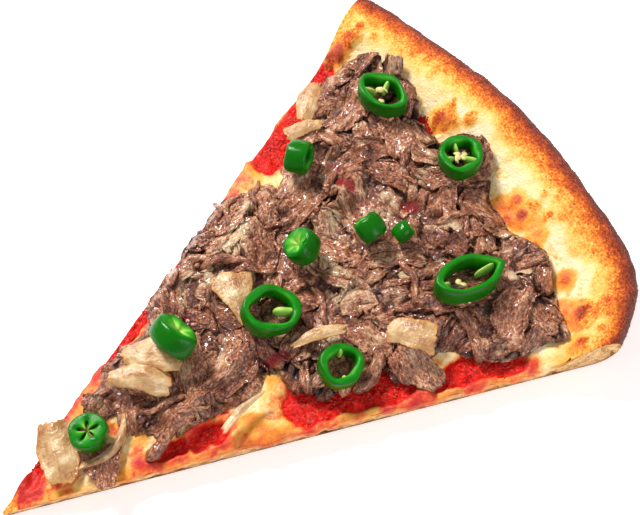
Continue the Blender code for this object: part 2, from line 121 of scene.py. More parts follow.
# Milky cheese melted over the steak: along, across, half length, half width, turn
SMEARS = (
    (88.0, 22.7, 6.0, 3.0, 20), (85.0, 11.8, 3.6, 1.6, 60), (104.3, 1.4, 5.6, 2.2, -70),
    (101.4, -6.2, 5.0, 2.4, -40), (70.5, 19.2, 6.0, 2.6, 30), (77.5, 18.4, 4.0, 2.6, 70),
    (127.0, 11.0, 6.5, 2.0, -60), (123.6, 6.6, 4.6, 2.2, -20), (143.0, -29.4, 4.6, 1.7, -30),
    (90.3, -15.6, 5.0, 1.6, 10), (95.5, 28.8, 4.0, 2.0, 20), (135.9, -7.4, 4.6, 1.5, -50),
    (119.5, 21.5, 5.0, 2.0, -80), (127.0, 40.4, 4.0, 2.4, 10), (113.0, 12.6, 4.0, 1.8, 30),
    (117.6, -9.8, 4.6, 1.7, -60), (66.0, -2.0, 3.0, 1.2, 40), (140.0, 8.0, 3.6, 1.4, 20),
)
# Sauce that shows deep among the steak, in the same form
SAUCE_SPOTS = (
    (132.4, 3.4, 2.6, 1.5, -50), (122.0, 19.0, 3.2, 1.3, -70), (78.0, -10.6, 3.6, 1.3, -20),
    (64.2, 12.2, 2.2, 1.0, 40), (124.2, 25.0, 2.4, 0.9, -70),
)
# Large sheets of steak on top: along, across, length, width, turn, fold
SHEETS = (
    (56.0, -3.5, 22, 13, 17, 0.42), (47.0, -7.0, 12, 7, 0, 0.5), (92.0, 19.0, 17, 11, 70, 0.6),
    (107.0, -32.5, 15, 9.5, -88, 0.3), (135.0, -37.0, 16, 12, 30, 0.6), (112.0, 30.0, 12, 9, 40, 0.6),
    (122.0, 13.5, 14, 9, 75, 0.6), (137.0, 38.0, 14, 10, 20, 0.6), (147.0, -9.0, 13, 8, -70, 0.7),
    (108.0, 21.0, 15, 10, 10, 0.5), (120.5, -6.0, 15, 9, -40, 0.6), (139.0, -4.0, 14, 9, 60, 0.5),
    (91.0, 29.5, 13, 9, 15, 0.5), (100.5, -20.5, 13, 9, -75, 0.5), (128.0, -24.0, 16, 10, -30, 0.5),
    (141.5, 22.0, 13, 9, 75, 0.5), (59.0, 2.0, 15, 9, 60, 0.5), (108.0, 6.0, 14, 8, -60, 0.5),
)
# Rolled strands of steak: along, across, length, width, turn
CORDS = (
    (43.5, -10.3, 14, 3.4, 182), (95.2, -27.0, 13, 4.0, 194), (82.5, 18.5, 15, 2.4, -32),
    (87.0, 12.5, 12, 2.0, -20), (95.5, -5.0, 12, 1.8, 80), (118.0, -14.0, 14, 2.0, 65),
    (47.5, -3.0, 12, 2.0, -28), (90.5, 32.0, 10, 1.8, 10), (119.0, 22.0, 8, 2.2, 35),
)
# Dark pits between the shreds: along, across, half length, half width, turn
HOLLOWS = (
    (144.1, -36.4, 2.0, 1.4, -60), (125.8, -36.2, 2.0, 1.6, 40), (140.3, -31.1, 2.2, 1.2, -30),
    (130.5, -12.2, 3.4, 1.3, 10), (134.7, -3.6, 3.2, 1.3, -20), (51.7, 5.0, 1.8, 1.0, 30),
    (44.0, 0.9, 2.0, 1.0, -40), (76.0, 22.5, 2.0, 1.5, 30), (85.5, 8.2, 1.6, 1.3, 10),
    (93.0, 13.5, 3.2, 1.2, 20), (96.0, 27.0, 1.8, 1.0, 60), (112.0, 2.2, 2.8, 1.1, 30),
    (97.5, -3.0, 2.2, 1.2, -70), (110.0, -16.0, 2.6, 1.2, 15), (118.0, -16.5, 2.2, 1.1, -50),
    (66.0, 3.5, 2.4, 1.2, 40), (60.0, -6.5, 2.6, 1.1, -10), (72.5, -7.5, 2.4, 1.2, 50),
    (84.0, 32.0, 1.8, 1.1, 15), (104.0, 22.0, 2.4, 1.2, -20), (134.0, 22.0, 2.6, 1.2, 70),
    (138.0, 44.0, 2.0, 1.1, 10), (150.0, 34.0, 2.2, 1.1, 60), (145.5, -12.5, 2.4, 1.2, -70),
    (100.5, -13.0, 2.4, 1.1, 20), (120.5, 27.5, 2.0, 1.1, 40), (155.0, 3.0, 2.0, 1.0, 80),
)
# Pepper, in the model's order: length, width, height, wall, pinch, turn, lean, heading,
# then the lobes of its hollow
PEPPERS = {
    "pepper_ring_far": (15.4, 11.2, 5.4, 1.7, 0.30, -74, 5, 29, 3),
    "pepper_ring_rim": (12.2, 12.0, 4.8, 1.9, 0.0, 0, 5, 51, 4),
    "pepper_segment_far": (9.8, 9.2, 5.6, 1.5, 0.0, 0, 84, -54, 3),
    "pepper_chunk_middle": (7.4, 7.0, 6.2, 0.0, 0.0, 0, 66, 95, 3),
    "pepper_chunk_small": (5.3, 4.9, 4.8, 0.0, 0.0, 0, 66, -3, 3),
    "pepper_segment_middle": (9.4, 8.6, 6.0, 0.0, 0.0, 20, 36, 130, 5),
    "pepper_ring_middle": (15.6, 13.0, 5.2, 2.0, 0.05, -28, 14, -24, 3),
    "pepper_ring_large": (20.0, 11.4, 5.8, 1.9, 0.35, -14, 12, 40, 2),
    "pepper_segment_tip": (12.2, 9.8, 6.2, 0.0, 0.1, -79, 56, 12, 4),
    "pepper_ring_near": (11.8, 11.2, 4.6, 2.0, 0.0, 0, 12, -19, 2),
    "pepper_ring_tip": (9.8, 9.2, 4.8, 3.1, 0.0, 0, 3, 58, 5),
}
# Pale ribs inside the rings: bearing in degrees, reach as a share of the hollow, width
RIBS = {
    "pepper_ring_far": ((100, 0.95, 1.5), (215, 0.7, 1.1)),
    "pepper_ring_rim": ((75, 0.6, 1.3), (160, 0.6, 1.4), (300, 0.8, 1.6)),
    "pepper_ring_middle": ((352, 0.9, 2.4),),
    "pepper_ring_large": ((20, 0.75, 1.4), (180, 0.35, 1.6)),
    "pepper_ring_near": ((60, 0.35, 1.6), (250, 0.3, 1.4)),
}
# Onion, in the model's order: along, across, length, width, thickness, arch, taper, bow,
# turn, then how far its edges curl, how strongly it waves and how much one end is narrower
ONIONS = {
    "onion_wedge_far": (130.0, 46.6, 12.4, 8.0, 0.8, 1.0, 0.25, 0.4, 36, -0.2, 0.6, 0.15),
    "onion_piece_segment": (123.0, 40.0, 11.0, 5.2, 0.8, 0.8, 0.2, 1.0, -14, 0.2, 0.5, -0.2),
    "onion_sheet_middle": (78.2, 8.6, 14.0, 13.4, 0.7, 0.9, 0.1, 0.6, -109, 0.1, 0.5, -0.75),
    "onion_fold_upper": (52.4, 7.4, 15.6, 11.4, 0.8, 1.2, 0.3, 1.6, -34, -0.5, 1.8, 0.2),
    "onion_fold_lower": (46.0, 4.2, 15.6, 8.4, 0.8, 1.2, 0.25, 1.4, -42, -0.5, 1.8, 0.15),
    "onion_sheet_tip": (20.2, 3.3, 16.0, 11.0, 0.8, 0.7, 0.32, 0.3, 70, 0.2, 1.0, 0.06),
    "onion_strip_tip": (30.8, -1.5, 16.6, 2.8, 1.6, 1.2, 0.3, 3.4, -162.5, 0.2, 0.3, 0.2),
    "onion_strip_near": (63.0, -16.8, 14.0, 2.8, 1.0, 0.7, 0.3, -0.8, -171, 0.3, 0.3, 0.3),
    "onion_flap": (109.0, -26.6, 12.8, 8.8, 0.8, 1.4, 0.05, 0.6, -48, 0.3, 0.9, 0.1),
    "onion_sliver": (89.6, -13.0, 15.0, 3.8, 0.9, 0.7, 0.25, 0.8, -17, 0.4, 0.6, 0.15),
}
SCRAP = (27.2, -6.6, 10.8, 11.6, 1.2, 1.0, 0.1, 0.0, -111, 0.4, 0.8, -0.3)

# The camera, in degrees and metres, and its lens in millimetres
VIEW_AZIMUTH = -36.48
VIEW_ELEVATION = 67.0
VIEW_DISTANCE = 0.2903
VIEW_TARGET = Vector((0.01615, 0.0050, 0.006))
VIEW_LENS = 60.0
# Lights: metres to the right of, beyond and above the target, then size, power and tint
LIGHTS = {
    "key": (-0.35, 0.45, 0.6, 0.2, 9.6, (1.0, 0.98, 0.95)),
    "fill": (0.5, -0.5, 0.42, 0.5, 2.5, (0.97, 0.98, 1.0)),
}


# --- Numbers and noise ---


def smooth(t):
    """Eases from 0 to 1."""
    t = np.clip(t, 0.0, 1.0)
    return t * t * (3 - 2 * t)


def lattice(i, j, seed):
    """A repeatable number from -1 to 1 for each pair of whole numbers."""
    mixed = (i * 374761393 + j * 668265263 + seed * 974634777) & 0xFFFFFFFF
    mixed = ((mixed ^ (mixed >> 13)) * 1274126177) & 0xFFFFFFFF
    return ((mixed ^ (mixed >> 16)) & 0xFFFFFF) / 0x7FFFFF - 1.0


def wave(x, y, seed):
    """Smooth noise from -1 to 1 with about one swell for each unit."""
    i = np.floor(x).astype(np.int64)
    j = np.floor(y).astype(np.int64)
    u = smooth(x - i)
    v = smooth(y - j)
    low = lattice(i, j, seed) * (1 - u) + lattice(i + 1, j, seed) * u
    high = lattice(i, j + 1, seed) * (1 - u) + lattice(i + 1, j + 1, seed) * u
    return low * (1 - v) + high * v


def rough(x, y, size, seed, octaves=3):
    """Noise of a given swell size with finer noise on it, from about -1 to 1."""
    total = np.zeros(np.broadcast(x, y).shape)
    strength = 1.0
    for octave in range(octaves):
        total = total + strength * wave(x / size, y / size, seed + 17 * octave)
        x, y = 0.8 * x - 0.6 * y, 0.6 * x + 0.8 * y
        size *= 0.48
        strength *= 0.52
    return total * 0.8


def ellipse_depth(along, across, place):
    """How deep a point lies inside an ellipse, in mm; below 0 outside it."""
    centre_along, centre_across, half_length, half_width, turn = place
    cosine = math.cos(math.radians(turn))
    sine = math.sin(math.radians(turn))
    x = (along - centre_along) * cosine + (across - centre_across) * sine
    y = (across - centre_across) * cosine - (along - centre_along) * sine
    return (1 - np.hypot(x / half_length, y / half_width)) * half_width


def turned(x, y, angle, along, across):
    """Points turned by an angle and moved to a place on the slice."""
    cosine = math.cos(angle)
    sine = math.sin(angle)
    return along + x * cosine - y * sine, across + x * sine + y * cosine


# --- The slice's form ---


def near_corner(angle):
    """0 along most of the rim, rising to 1 where the near corner draws in."""
    return np.maximum(0.0, (CORNER_START - angle) / (CORNER_START + HALF_ANGLE))


def outer_radius(angle):
    """Distance from the tip to the crust's outline."""
    corner = near_corner(angle)
    waver = RIM_WAVER * (np.sin(17 * angle + 1.2) * (1 - np.minimum(1.0, corner)) - 1)
    return SLICE_RADIUS + waver - CORNER_DROP * corner**CORNER_POWER


def crest_radius(angle):
    """Distance from the tip to the rim's crest."""
    return outer_radius(angle) - CREST_INSET * (1 - 0.5 * near_corner(angle) ** 2)


def rim_height(angle):
    """The crest's height along the rim."""
    return RIM_HEIGHT + RIM_SWELL * (np.sin(13 * angle) - 0.8 * np.cos(23 * angle))


def slope_top(radius, angle):
    """Height of the dough's upper face, from the tip to the crest."""
    base = TIP_THICKNESS + (BASE_THICKNESS - TIP_THICKNESS) * smooth(radius / TAPER_LENGTH)
    rise = smooth((radius - crest_radius(angle) + RIM_SLOPE) / RIM_SLOPE)
    return base + (rim_height(angle) - base) * rise


def dough_top(radius, angle):
    """Height of the dough's upper face, out to its outline."""
    outer = outer_radius(angle)
    crest = crest_radius(angle)
    past = np.clip((radius - crest) / (outer - crest), 0.0, 1.0)
    fall = np.sqrt(np.maximum(0.0, 1 - past ** (2 / 0.9)))
    side = RIM_BELLY_HEIGHT + (rim_height(angle) - RIM_BELLY_HEIGHT) * fall
    return np.where(radius <= crest, slope_top(radius, angle), side)


def dough_bottom(radius, angle):
    """Height of the dough's underside, which rounds up to the rim's belly."""
    past = np.clip((radius - outer_radius(angle) + RIM_FOOT_INSET) / RIM_FOOT_INSET, 0.0, 1.0)
    return RIM_BELLY_HEIGHT * (1 - np.sqrt(1 - past**2))


def on_slice(radius, angle, height):
    """Points at a distance and an angle from the tip."""
    return np.stack([radius * np.cos(angle), radius * np.sin(angle), height + 0 * angle], -1)


def blisters(along, across):
    """The blisters' height, and their scorch from 0 to 1."""
    height = np.zeros(np.shape(along))
    scorch = np.zeros(np.shape(along))
    ragged = 1 + 0.28 * rough(along, across, 2.4, 31)
    for centre_along, centre_across, radius, rise, burn in BLISTERS:
        away = np.hypot(along - centre_along, across - centre_across) / radius * ragged
        height += rise * np.exp(-((1.05 * away) ** 4))
        halo = 0.34 * (1 - smooth((away - 0.9) / 0.9))
        scorch = np.maximum(scorch, np.maximum(halo, burn * (1 - smooth((away - 0.3) / 0.8))))
    for place in GILDED:
        depth = ellipse_depth(along, across, place[:5]) + 0.9 * rough(along, across, 3.0, 33)
        tone = place[5] * (1 + 0.3 * rough(along, across, 1.8, 34))
        scorch = np.maximum(scorch, tone * smooth((depth + 0.3) / 1.5))
        height += 0.25 * smooth(depth / 2.0)
    return height, scorch


def baked(along, across):
    """How brown the rim is, from 0 where it is cream to 1 at its dark outline."""
    radius = np.hypot(along, across)
    angle = np.arctan2(across, along)
    inside = outer_radius(np.clip(angle, -HALF_ANGLE, HALF_ANGLE)) - radius
    patches = rough(along, across, 16.0, 5)
    grain = rough(along, across, 2.2, 8)
    heavy = smooth(np.sin(3.2 * angle + 0.55)) * 2.5
    reach = 16.5 + 4.5 * patches + 1.6 * grain + heavy
    shade = 0.34 * np.exp(-np.maximum(inside, 0) / 2.6) + 0.95 * np.clip(1 - inside / reach, 0, 1)
    ends = smooth((np.abs(angle) - HALF_ANGLE + 0.09) / 0.09)
    shade = np.maximum(shade, 0.42 * ends * smooth((radius - 135) / 18))
    return np.clip(shade + 0.1 * grain * shade, 0, 1)


def window_depth(along, across):
    """How deep a point lies in an opening of the cheese, in mm; below 0 under cheese."""
    deepest = np.full(np.shape(along), -99.0)
    for window in WINDOWS:
        deepest = np.maximum(deepest, ellipse_depth(along, across, window))
    # Cheese stays along the near cut
    from_near = (HALF_ANGLE + np.arctan2(across, along)) * np.hypot(along, across)
    deepest = np.minimum(deepest, from_near - 2.2 - 1.2 * rough(along, across, 9.0, 13))
    return deepest + 0.7 * rough(along, across, 4.0, 12)


# --- Heights of what lies on the slice ---


def soften(field, reach):
    """Blurs a field over a reach given in cells."""
    span = int(math.ceil(2.5 * reach))
    weights = np.exp(-0.5 * (np.arange(-span, span + 1) / reach) ** 2)
    weights /= weights.sum()
    padded = np.pad(field, span, mode="edge")
    rows = sum(w * padded[k : k + field.shape[0], :] for k, w in enumerate(weights))
    return sum(w * rows[:, k : k + field.shape[1]] for k, w in enumerate(weights))


def cast_down(node, along, across):
    """Height of a node's top under each point, or nan beside it."""
    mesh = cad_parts[node].data
    corners = [vertex.co.copy() for vertex in mesh.vertices]
    tree = BVHTree.FromPolygons(corners, [tuple(face.vertices) for face in mesh.polygons])
    heights = np.full(np.shape(along), np.nan)
    down = Vector((0, 0, -1))
    flat = heights.reshape(-1)
    for index, (x, y) in enumerate(zip(along.reshape(-1), across.reshape(-1))):
        start = Vector(((x - CENTRE_ALONG) * MM, (y - CENTRE_ACROSS) * MM, 0.1))
        hit = tree.ray_cast(start, down)[0]
        if hit is not None:
            flat[index] = hit.z / MM
    return heights


def between_cells(field, i, j):
    """A field's value at fractional cell numbers."""
    i0 = i.astype(int)
    j0 = j.astype(int)
    u = i - i0
    v = j - j0
    low = field[i0, j0] * (1 - u) + field[i0 + 1, j0] * u
    high = field[i0, j0 + 1] * (1 - u) + field[i0 + 1, j0 + 1] * u
    return low * (1 - v) + high * v


class Ground:
    """Heights on a square grid, which rise as pieces are laid down."""

    STEP = 0.75
    ALONG_SPAN = (0.0, 182.0)
    ACROSS_SPAN = (-72.0, 74.0)
    SPREAD_HEIGHT = 4.2
    CORE_SHARE = 0.62

    def __init__(self):
        along = np.arange(*self.ALONG_SPAN, self.STEP)
        across = np.arange(*self.ACROSS_SPAN, self.STEP)
        self.along, self.across = np.meshgrid(along, across, indexing="ij")
        angle = np.clip(np.arctan2(self.across, self.along), -HALF_ANGLE, HALF_ANGLE)
        radius = np.hypot(self.along, self.across)
        self.floor = dough_top(radius, angle) + CHEESE_LIFT + CHEESE_THICKNESS
        self.wanted = cast_down("steak_heap", self.along, self.across)
        self.is_heap = ~np.isnan(self.wanted)
        self.wanted = np.where(self.is_heap, self.wanted, self.floor)
        for place in SPREADS:
            depth = ellipse_depth(self.along, self.across, place)
            in_slice = (HALF_ANGLE - np.abs(angle)) * radius > 0.8
            spread = self.SPREAD_HEIGHT * smooth(depth / 4.0) * in_slice
            self.wanted = np.maximum(self.wanted, self.floor + spread)
            self.is_heap |= (depth > 0) & in_slice
        self.inside = self.distance_inside()
        core_rise = (self.wanted - self.floor) * self.CORE_SHARE * smooth((self.inside - 0.5) / 6.0)
        self.height = self.floor + np.maximum(0.0, core_rise)
        self.core = self.height.copy()

    def distance_inside(self):
        """Distance in from the heap's outline, below 0 outside it."""
        mask = self.is_heap
        around = [np.roll(mask, step, axis) for step in (1, -1) for axis in (0, 1)]
        edge = mask & ~np.logical_and.reduce(around)
        edge_along = self.along[edge]
        edge_across = self.across[edge]
        nearest = np.empty(mask.shape)
        for row in range(mask.shape[0]):
            away_along = self.along[row][:, None] - edge_along[None, :]
            away_across = self.across[row][:, None] - edge_across[None, :]
            nearest[row] = np.hypot(away_along, away_across).min(1)
        return np.where(mask, nearest, -nearest)

    def cells(self, along, across):
        """Fractional cell numbers of points."""
        i = np.clip((along - self.ALONG_SPAN[0]) / self.STEP, 0, self.along.shape[0] - 1.001)
        j = np.clip((across - self.ACROSS_SPAN[0]) / self.STEP, 0, self.along.shape[1] - 1.001)
        return i, j

    def read(self, field, along, across):
        """A field's value at points, between its cells."""
        return between_cells(field, *self.cells(along, across))

    def inward(self, along, across):
        """How much further inside the heap points get over 2 mm along, and across."""
        read, inside = self.read, self.inside
        return (
            read(inside, along + 1, across) - read(inside, along - 1, across),
            read(inside, along, across + 1) - read(inside, along, across - 1),
        )

    def support(self, along, across, reach=1.6):
        """Height at which a soft piece over these points lies."""
        i, j = self.cells(along, across)
        i0 = max(0, int(i.min()) - 5)
        j0 = max(0, int(j.min()) - 5)
        window = self.height[i0 : int(i.max()) + 7, j0 : int(j.max()) + 7]
        soft = soften(window, reach)
        local_i = np.clip(i - i0, 0, soft.shape[0] - 1.001)
        local_j = np.clip(j - j0, 0, soft.shape[1] - 1.001)
        return between_cells(soft, local_i, local_j)

    def raise_to(self, along, across, height):
        """Records a piece's upper face."""
        i, j = self.cells(along, across)
        np.maximum.at(self.height, (np.rint(i).astype(int), np.rint(j).astype(int)), height)


# --- Meshes ---


def grid_quads(grid):
    """The quads of a grid of point numbers, facing up where rows run along and columns across."""
    corners = (grid[:-1, :-1], grid[1:, :-1], grid[1:, 1:], grid[:-1, 1:])
    return np.stack([corner.reshape(-1) for corner in corners], -1)


class Shell:
    """Gathers closed bodies and makes one mesh of them."""

    def __init__(self):
        self.points = []
        self.quads = []
        self.others = []
        self.values = {}
        self.count = 0

    def add_points(self, points, **values):
        """Adds points in mm with their values, and returns the first one's number."""
        start = self.count
        self.points.append(points.reshape(-1, 3))
        added = len(self.points[-1])
        for name, value in values.items():
            shape = (added, 2) if name == "fibre" else (added,)
            value = np.broadcast_to(value, shape) if np.ndim(value) == 0 else np.reshape(value, shape)
            self.values.setdefault(name, []).append((start, value))
        self.count += added
        return start

    def add_sheet(self, top, bottom, **values):
        """A sheet between two grids of points, which share their border."""
        rows, columns = top.shape[:2]
        start = self.add_points(top, **values)
        upper = start + np.arange(rows * columns).reshape(rows, columns)
        inner = {name: np.asarray(value)[1:-1, 1:-1] for name, value in values.items() if np.ndim(value) > 1}
        inner.update({name: value for name, value in values.items() if np.ndim(value) < 2})
        start = self.add_points(bottom[1:-1, 1:-1], **inner)
        lower = upper.copy()
        lower[1:-1, 1:-1] = start + np.arange((rows - 2) * (columns - 2)).reshape(rows - 2, columns - 2)
        self.quads.append(grid_quads(upper))
        self.quads.append(grid_quads(lower)[:, ::-1])

    def add_slab(self, top, bottom, mask, **values):
        """A body between two grids of points, where a mask of their cells holds."""
        rows, columns = top.shape[:2]
        number = np.arange(rows * columns).reshape(rows, columns)
        upper = self.add_points(top, **values) + number
        lower = self.add_points(bottom, **values) + number
        keep = mask.reshape(-1)
        self.quads.append(grid_quads(upper)[keep])
        self.quads.append(grid_quads(lower)[keep][:, ::-1])
        wide = np.pad(mask, 1)
        around = (wide[1:-1, :-2], wide[2:, 1:-1], wide[1:-1, 2:], wide[:-2, 1:-1])
        for side, beyond in enumerate(around):
            edge = (mask & ~beyond).reshape(-1)
            here, there = side, (side + 1) % 4
            low, high = grid_quads(lower)[edge], grid_quads(upper)[edge]
            self.quads.append(np.stack([low[:, here], low[:, there], high[:, there], high[:, here]], -1))

    def add_loops(self, loops, is_ring=False, **values):
        """A body skinned over closed loops of points, joined end to end or capped."""
        total, sides = loops.shape[:2]
        start = self.add_points(loops, **values)
        grid = start + np.arange(total * sides).reshape(total, sides)
        around = np.concatenate([grid, grid[:, :1]], 1)
        if is_ring:
            around = np.concatenate([around, around[:1]], 0)
        else:
            self.others.append([int(k) for k in grid[0]])
            self.others.append([int(k) for k in grid[-1][::-1]])
        self.quads.append(grid_quads(around))

    def store_values(self, mesh, used):
        """Stores the points' values on the mesh, where fibre is a UV map."""
        for name, parts in self.values.items():
            size = 2 if name == "fibre" else 1
            whole = np.zeros((self.count, size), np.float32)
            for start, value in parts:
                whole[start : start + len(value)] = np.reshape(value, (-1, size))
            whole = whole[used]
            if name == "fibre":
                at_corner = np.empty(len(mesh.loops), np.int32)
                mesh.loops.foreach_get("vertex_index", at_corner)
                layer = mesh.uv_layers.new(name=name)
                layer.data.foreach_set("uv", whole[at_corner].reshape(-1))
            else:
                attribute = mesh.attributes.new(name, "FLOAT", "POINT")
                attribute.data.foreach_set("value", whole.reshape(-1))

    def build(self, name, finish, replaced=()):
        """The mesh object, riding on the slice's body."""
        points = np.concatenate(self.points) - (CENTRE_ALONG, CENTRE_ACROSS, 0.0)
        quads = np.concatenate(self.quads)
        used = np.zeros(len(points), bool)
        used[quads.reshape(-1)] = True
        for face in self.others:
            used[face] = True
        renumber = np.cumsum(used) - 1
        points = points[used]
        quads = renumber[quads]
        self.others = [[int(k) for k in renumber[face]] for face in self.others]
        mesh = bpy.data.meshes.new(name)
        mesh.vertices.add(len(points))
        mesh.vertices.foreach_set("co", (points * MM).astype(np.float32).reshape(-1))
        corners = list(quads.reshape(-1))
        starts = list(range(0, 4 * len(quads), 4))
        for face in self.others:
            starts.append(len(corners))
            corners.extend(face)
        mesh.loops.add(len(corners))
        mesh.loops.foreach_set("vertex_index", np.array(corners, np.int32))
        mesh.polygons.add(len(starts))
        mesh.polygons.foreach_set("loop_start", np.array(starts, np.int32))
        mesh.update(calc_edges=True)
        mesh.validate()
        mesh.polygons.foreach_set("use_smooth", np.ones(len(mesh.polygons), bool))
        self.store_values(mesh, used)
        mesh.materials.append(finish)
        piece = bpy.data.objects.new(name, mesh)
        bpy.context.scene.collection.objects.link(piece)
        return settle(piece, replaced)


def settle(piece, replaced=()):
    """Says what a finished piece rides on and hides the parts it stands for."""
    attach(piece, "root")
    if replaced:
        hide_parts(*replaced)
    return piece


def displace(points, amount):
    """Moves a grid of points along its own normals."""
    rows = np.gradient(points, axis=0)
    columns = np.gradient(points, axis=1)
    normals = np.cross(rows, columns)
    lengths = np.linalg.norm(normals, axis=-1, keepdims=True)
    return points + normals / np.maximum(lengths, 1e-9) * amount[..., None]


# --- Finishes ---


class Finish:
    """A material and short ways to add the nodes of its pattern."""

    def __init__(self, name, **sockets):
        self.material = bpy.data.materials.new(name)
        self.material.use_nodes = True
        self.nodes = self.material.node_tree.nodes
        self.links = self.material.node_tree.links
        self.shader = self.nodes["Principled BSDF"]
        for socket, value in sockets.items():
            self.shader.inputs[socket.replace("_", " ")].default_value = value

    def put(self, value, socket):
        """Sets a socket to a value, or links another socket to it."""
        if isinstance(value, bpy.types.NodeSocket):
            self.links.new(value, socket)
        else:
            socket.default_value = value

    def feed(self, name, value):
        """Feeds the shader's own socket."""
        self.put(value, self.shader.inputs[name])

    def place(self, scale=(1, 1, 1), uv=None):
        """Object coordinates in mm, or a UV map's, stretched by a scale."""
        if uv:
            source = self.nodes.new("ShaderNodeUVMap")
            source.uv_map = uv
            unit = 1.0
        else:
            source = self.nodes.new("ShaderNodeTexCoord")
            unit = 1 / MM
        mapping = self.nodes.new("ShaderNodeMapping")
        mapping.inputs["Scale"].default_value = [unit * part for part in scale]
        self.links.new(source.outputs["UV" if uv else "Object"], mapping.inputs["Vector"])
        return mapping.outputs["Vector"]

    def noise(self, size, detail=3.0, roughness=0.55, distortion=0.0, place=None):
        """Cloudy noise whose swells are a size in mm."""
        texture = self.nodes.new("ShaderNodeTexNoise")
        texture.inputs["Scale"].default_value = 1 / size
        texture.inputs["Detail"].default_value = detail
        texture.inputs["Roughness"].default_value = roughness
        texture.inputs["Distortion"].default_value = distortion
        self.links.new(place or self.place(), texture.inputs["Vector"])
        return texture.outputs["Fac"]

    def cells(self, size):
        """Distance to the nearest of scattered points a size apart in mm."""
        texture = self.nodes.new("ShaderNodeTexVoronoi")
        texture.inputs["Scale"].default_value = 1 / size
        self.links.new(self.place(), texture.inputs["Vector"])
        return texture.outputs["Distance"]

    def value(self, name):
        """A value stored on the mesh."""
        node = self.nodes.new("ShaderNodeAttribute")
        node.attribute_name = name
        return node.outputs["Fac"]

    def maths(self, operation, first, second):
        """Combines two values or plain numbers."""
        node = self.nodes.new("ShaderNodeMath")
        node.operation = operation
        self.put(first, node.inputs[0])
        self.put(second, node.inputs[1])
        return node.outputs[0]

    def total(self, *terms):
        """Adds up values, where a pair stands for a value times its share."""
        parts = [self.maths("MULTIPLY", *term) if isinstance(term, tuple) else term for term in terms]
        result = parts[0]
        for part in parts[1:]:
            result = self.maths("ADD", result, part)
        return result

    def swing(self, value, share):
        """A noise's swings about its middle, times a share."""
        return self.maths("MULTIPLY", self.maths("SUBTRACT", value, 0.5), share)

    def span(self, value, low, high):
        """Stretches the span from low to high out to 0 and 1."""
        node = self.nodes.new("ShaderNodeMapRange")
        node.interpolation_type = "SMOOTHSTEP"
        self.put(value, node.inputs["Value"])
        node.inputs["From Min"].default_value = low
        node.inputs["From Max"].default_value = high
        return node.outputs["Result"]

    def ramp(self, value, *stops):
        """Colours by (place, colour) stops."""
        node = self.nodes.new("ShaderNodeValToRGB")
        elements = node.color_ramp.elements
        while len(elements) < len(stops):
            elements.new(0.5)
        for element, (place, colour) in zip(elements, stops):
            element.position = place
            element.color = (*colour, 1.0)
        self.put(value, node.inputs["Fac"])
        return node.outputs["Color"]

    def blend(self, factor, first, second):
        """Mixes two colours."""
        node = self.nodes.new("ShaderNodeMix")
        node.data_type = "RGBA"
        self.put(factor, node.inputs[0])
        for colour, socket in ((first, node.inputs[6]), (second, node.inputs[7])):
            self.put((*colour, 1.0) if isinstance(colour, tuple) else colour, socket)
        return node.outputs[2]

    def bump(self, height, depth, under=None):
        """Bumps of a depth in mm, over other bumps."""
        node = self.nodes.new("ShaderNodeBump")
        node.inputs["Strength"].default_value = 1.0
        node.inputs["Distance"].default_value = depth * MM
        self.put(height, node.inputs["Height"])
        if under is not None:
            self.links.new(under, node.inputs["Normal"])
        return node.outputs["Normal"]


def srgb(red, green, blue):
    """A colour in linear light from its 0 to 255 screen values."""
    parts = []
    for part in (red, green, blue):
        part /= 255
        parts.append(part / 12.92 if part <= 0.04045 else ((part + 0.055) / 1.055) ** 2.4)
    return tuple(parts)


def crust_finish(settings):
    """Baked dough: cream to dark brown on top, crumb at the cuts, toasted underneath."""
    finish = Finish(
        "baked_crust", Roughness=0.6, Specular_IOR_Level=0.25,
        Subsurface_Weight=0.06, Subsurface_Radius=(0.003, 0.0015, 0.0007),
    )
    grain = finish.noise(0.7, 4.0, 0.65)
    speck = finish.cells(0.55)
    cloud = finish.noise(5.0, 3.0)
    bake = finish.value("bake")
    mottle = (finish.span(bake, 0.12, 0.5), finish.swing(grain, 0.95))
    bake = finish.total(bake, mottle, finish.swing(cloud, 0.16))
    top = finish.ramp(
        bake,
        (0.0, srgb(250, 232, 198)),
        (0.16, srgb(252, 222, 162)),
        (0.34, srgb(248, 190, 92)),
        (0.5, srgb(234, 134, 42)),
        (0.66, srgb(198, 84, 28)),
        (0.82, srgb(144, 52, 22)),
        (1.0, tuple(settings.rim_colour)),
    )
    crumb = finish.ramp(
        finish.noise(1.6, 4.0, 0.6),
        (0.25, srgb(162, 106, 58)),
        (0.45, srgb(218, 164, 102)),
        (0.62, srgb(240, 200, 142)),
        (0.85, srgb(250, 226, 174)),
    )
    # Painted shade: dark spots stand for the shade in the crumb's pores
    pore_shade = finish.span(finish.cells(1.5), 0.1, 0.24)
    crumb = finish.blend(pore_shade, srgb(146, 92, 50), crumb)
    colour = finish.blend(finish.value("crumb"), top, crumb)
    toast = finish.ramp(
        finish.noise(4.0, 4.0, 0.6),
        (0.3, srgb(92, 52, 28)),
        (0.5, srgb(168, 108, 60)),
        (0.7, srgb(206, 156, 98)),
    )
    finish.feed("Base Color", finish.blend(finish.value("under"), colour, toast))
    finish.feed("Roughness", finish.span(grain, -0.6, 1.2))
    bumps = finish.bump(finish.total(grain, (speck, 0.5)), 0.22)
    finish.feed("Normal", finish.bump(finish.noise(2.4), 0.35, bumps))
    return finish.material


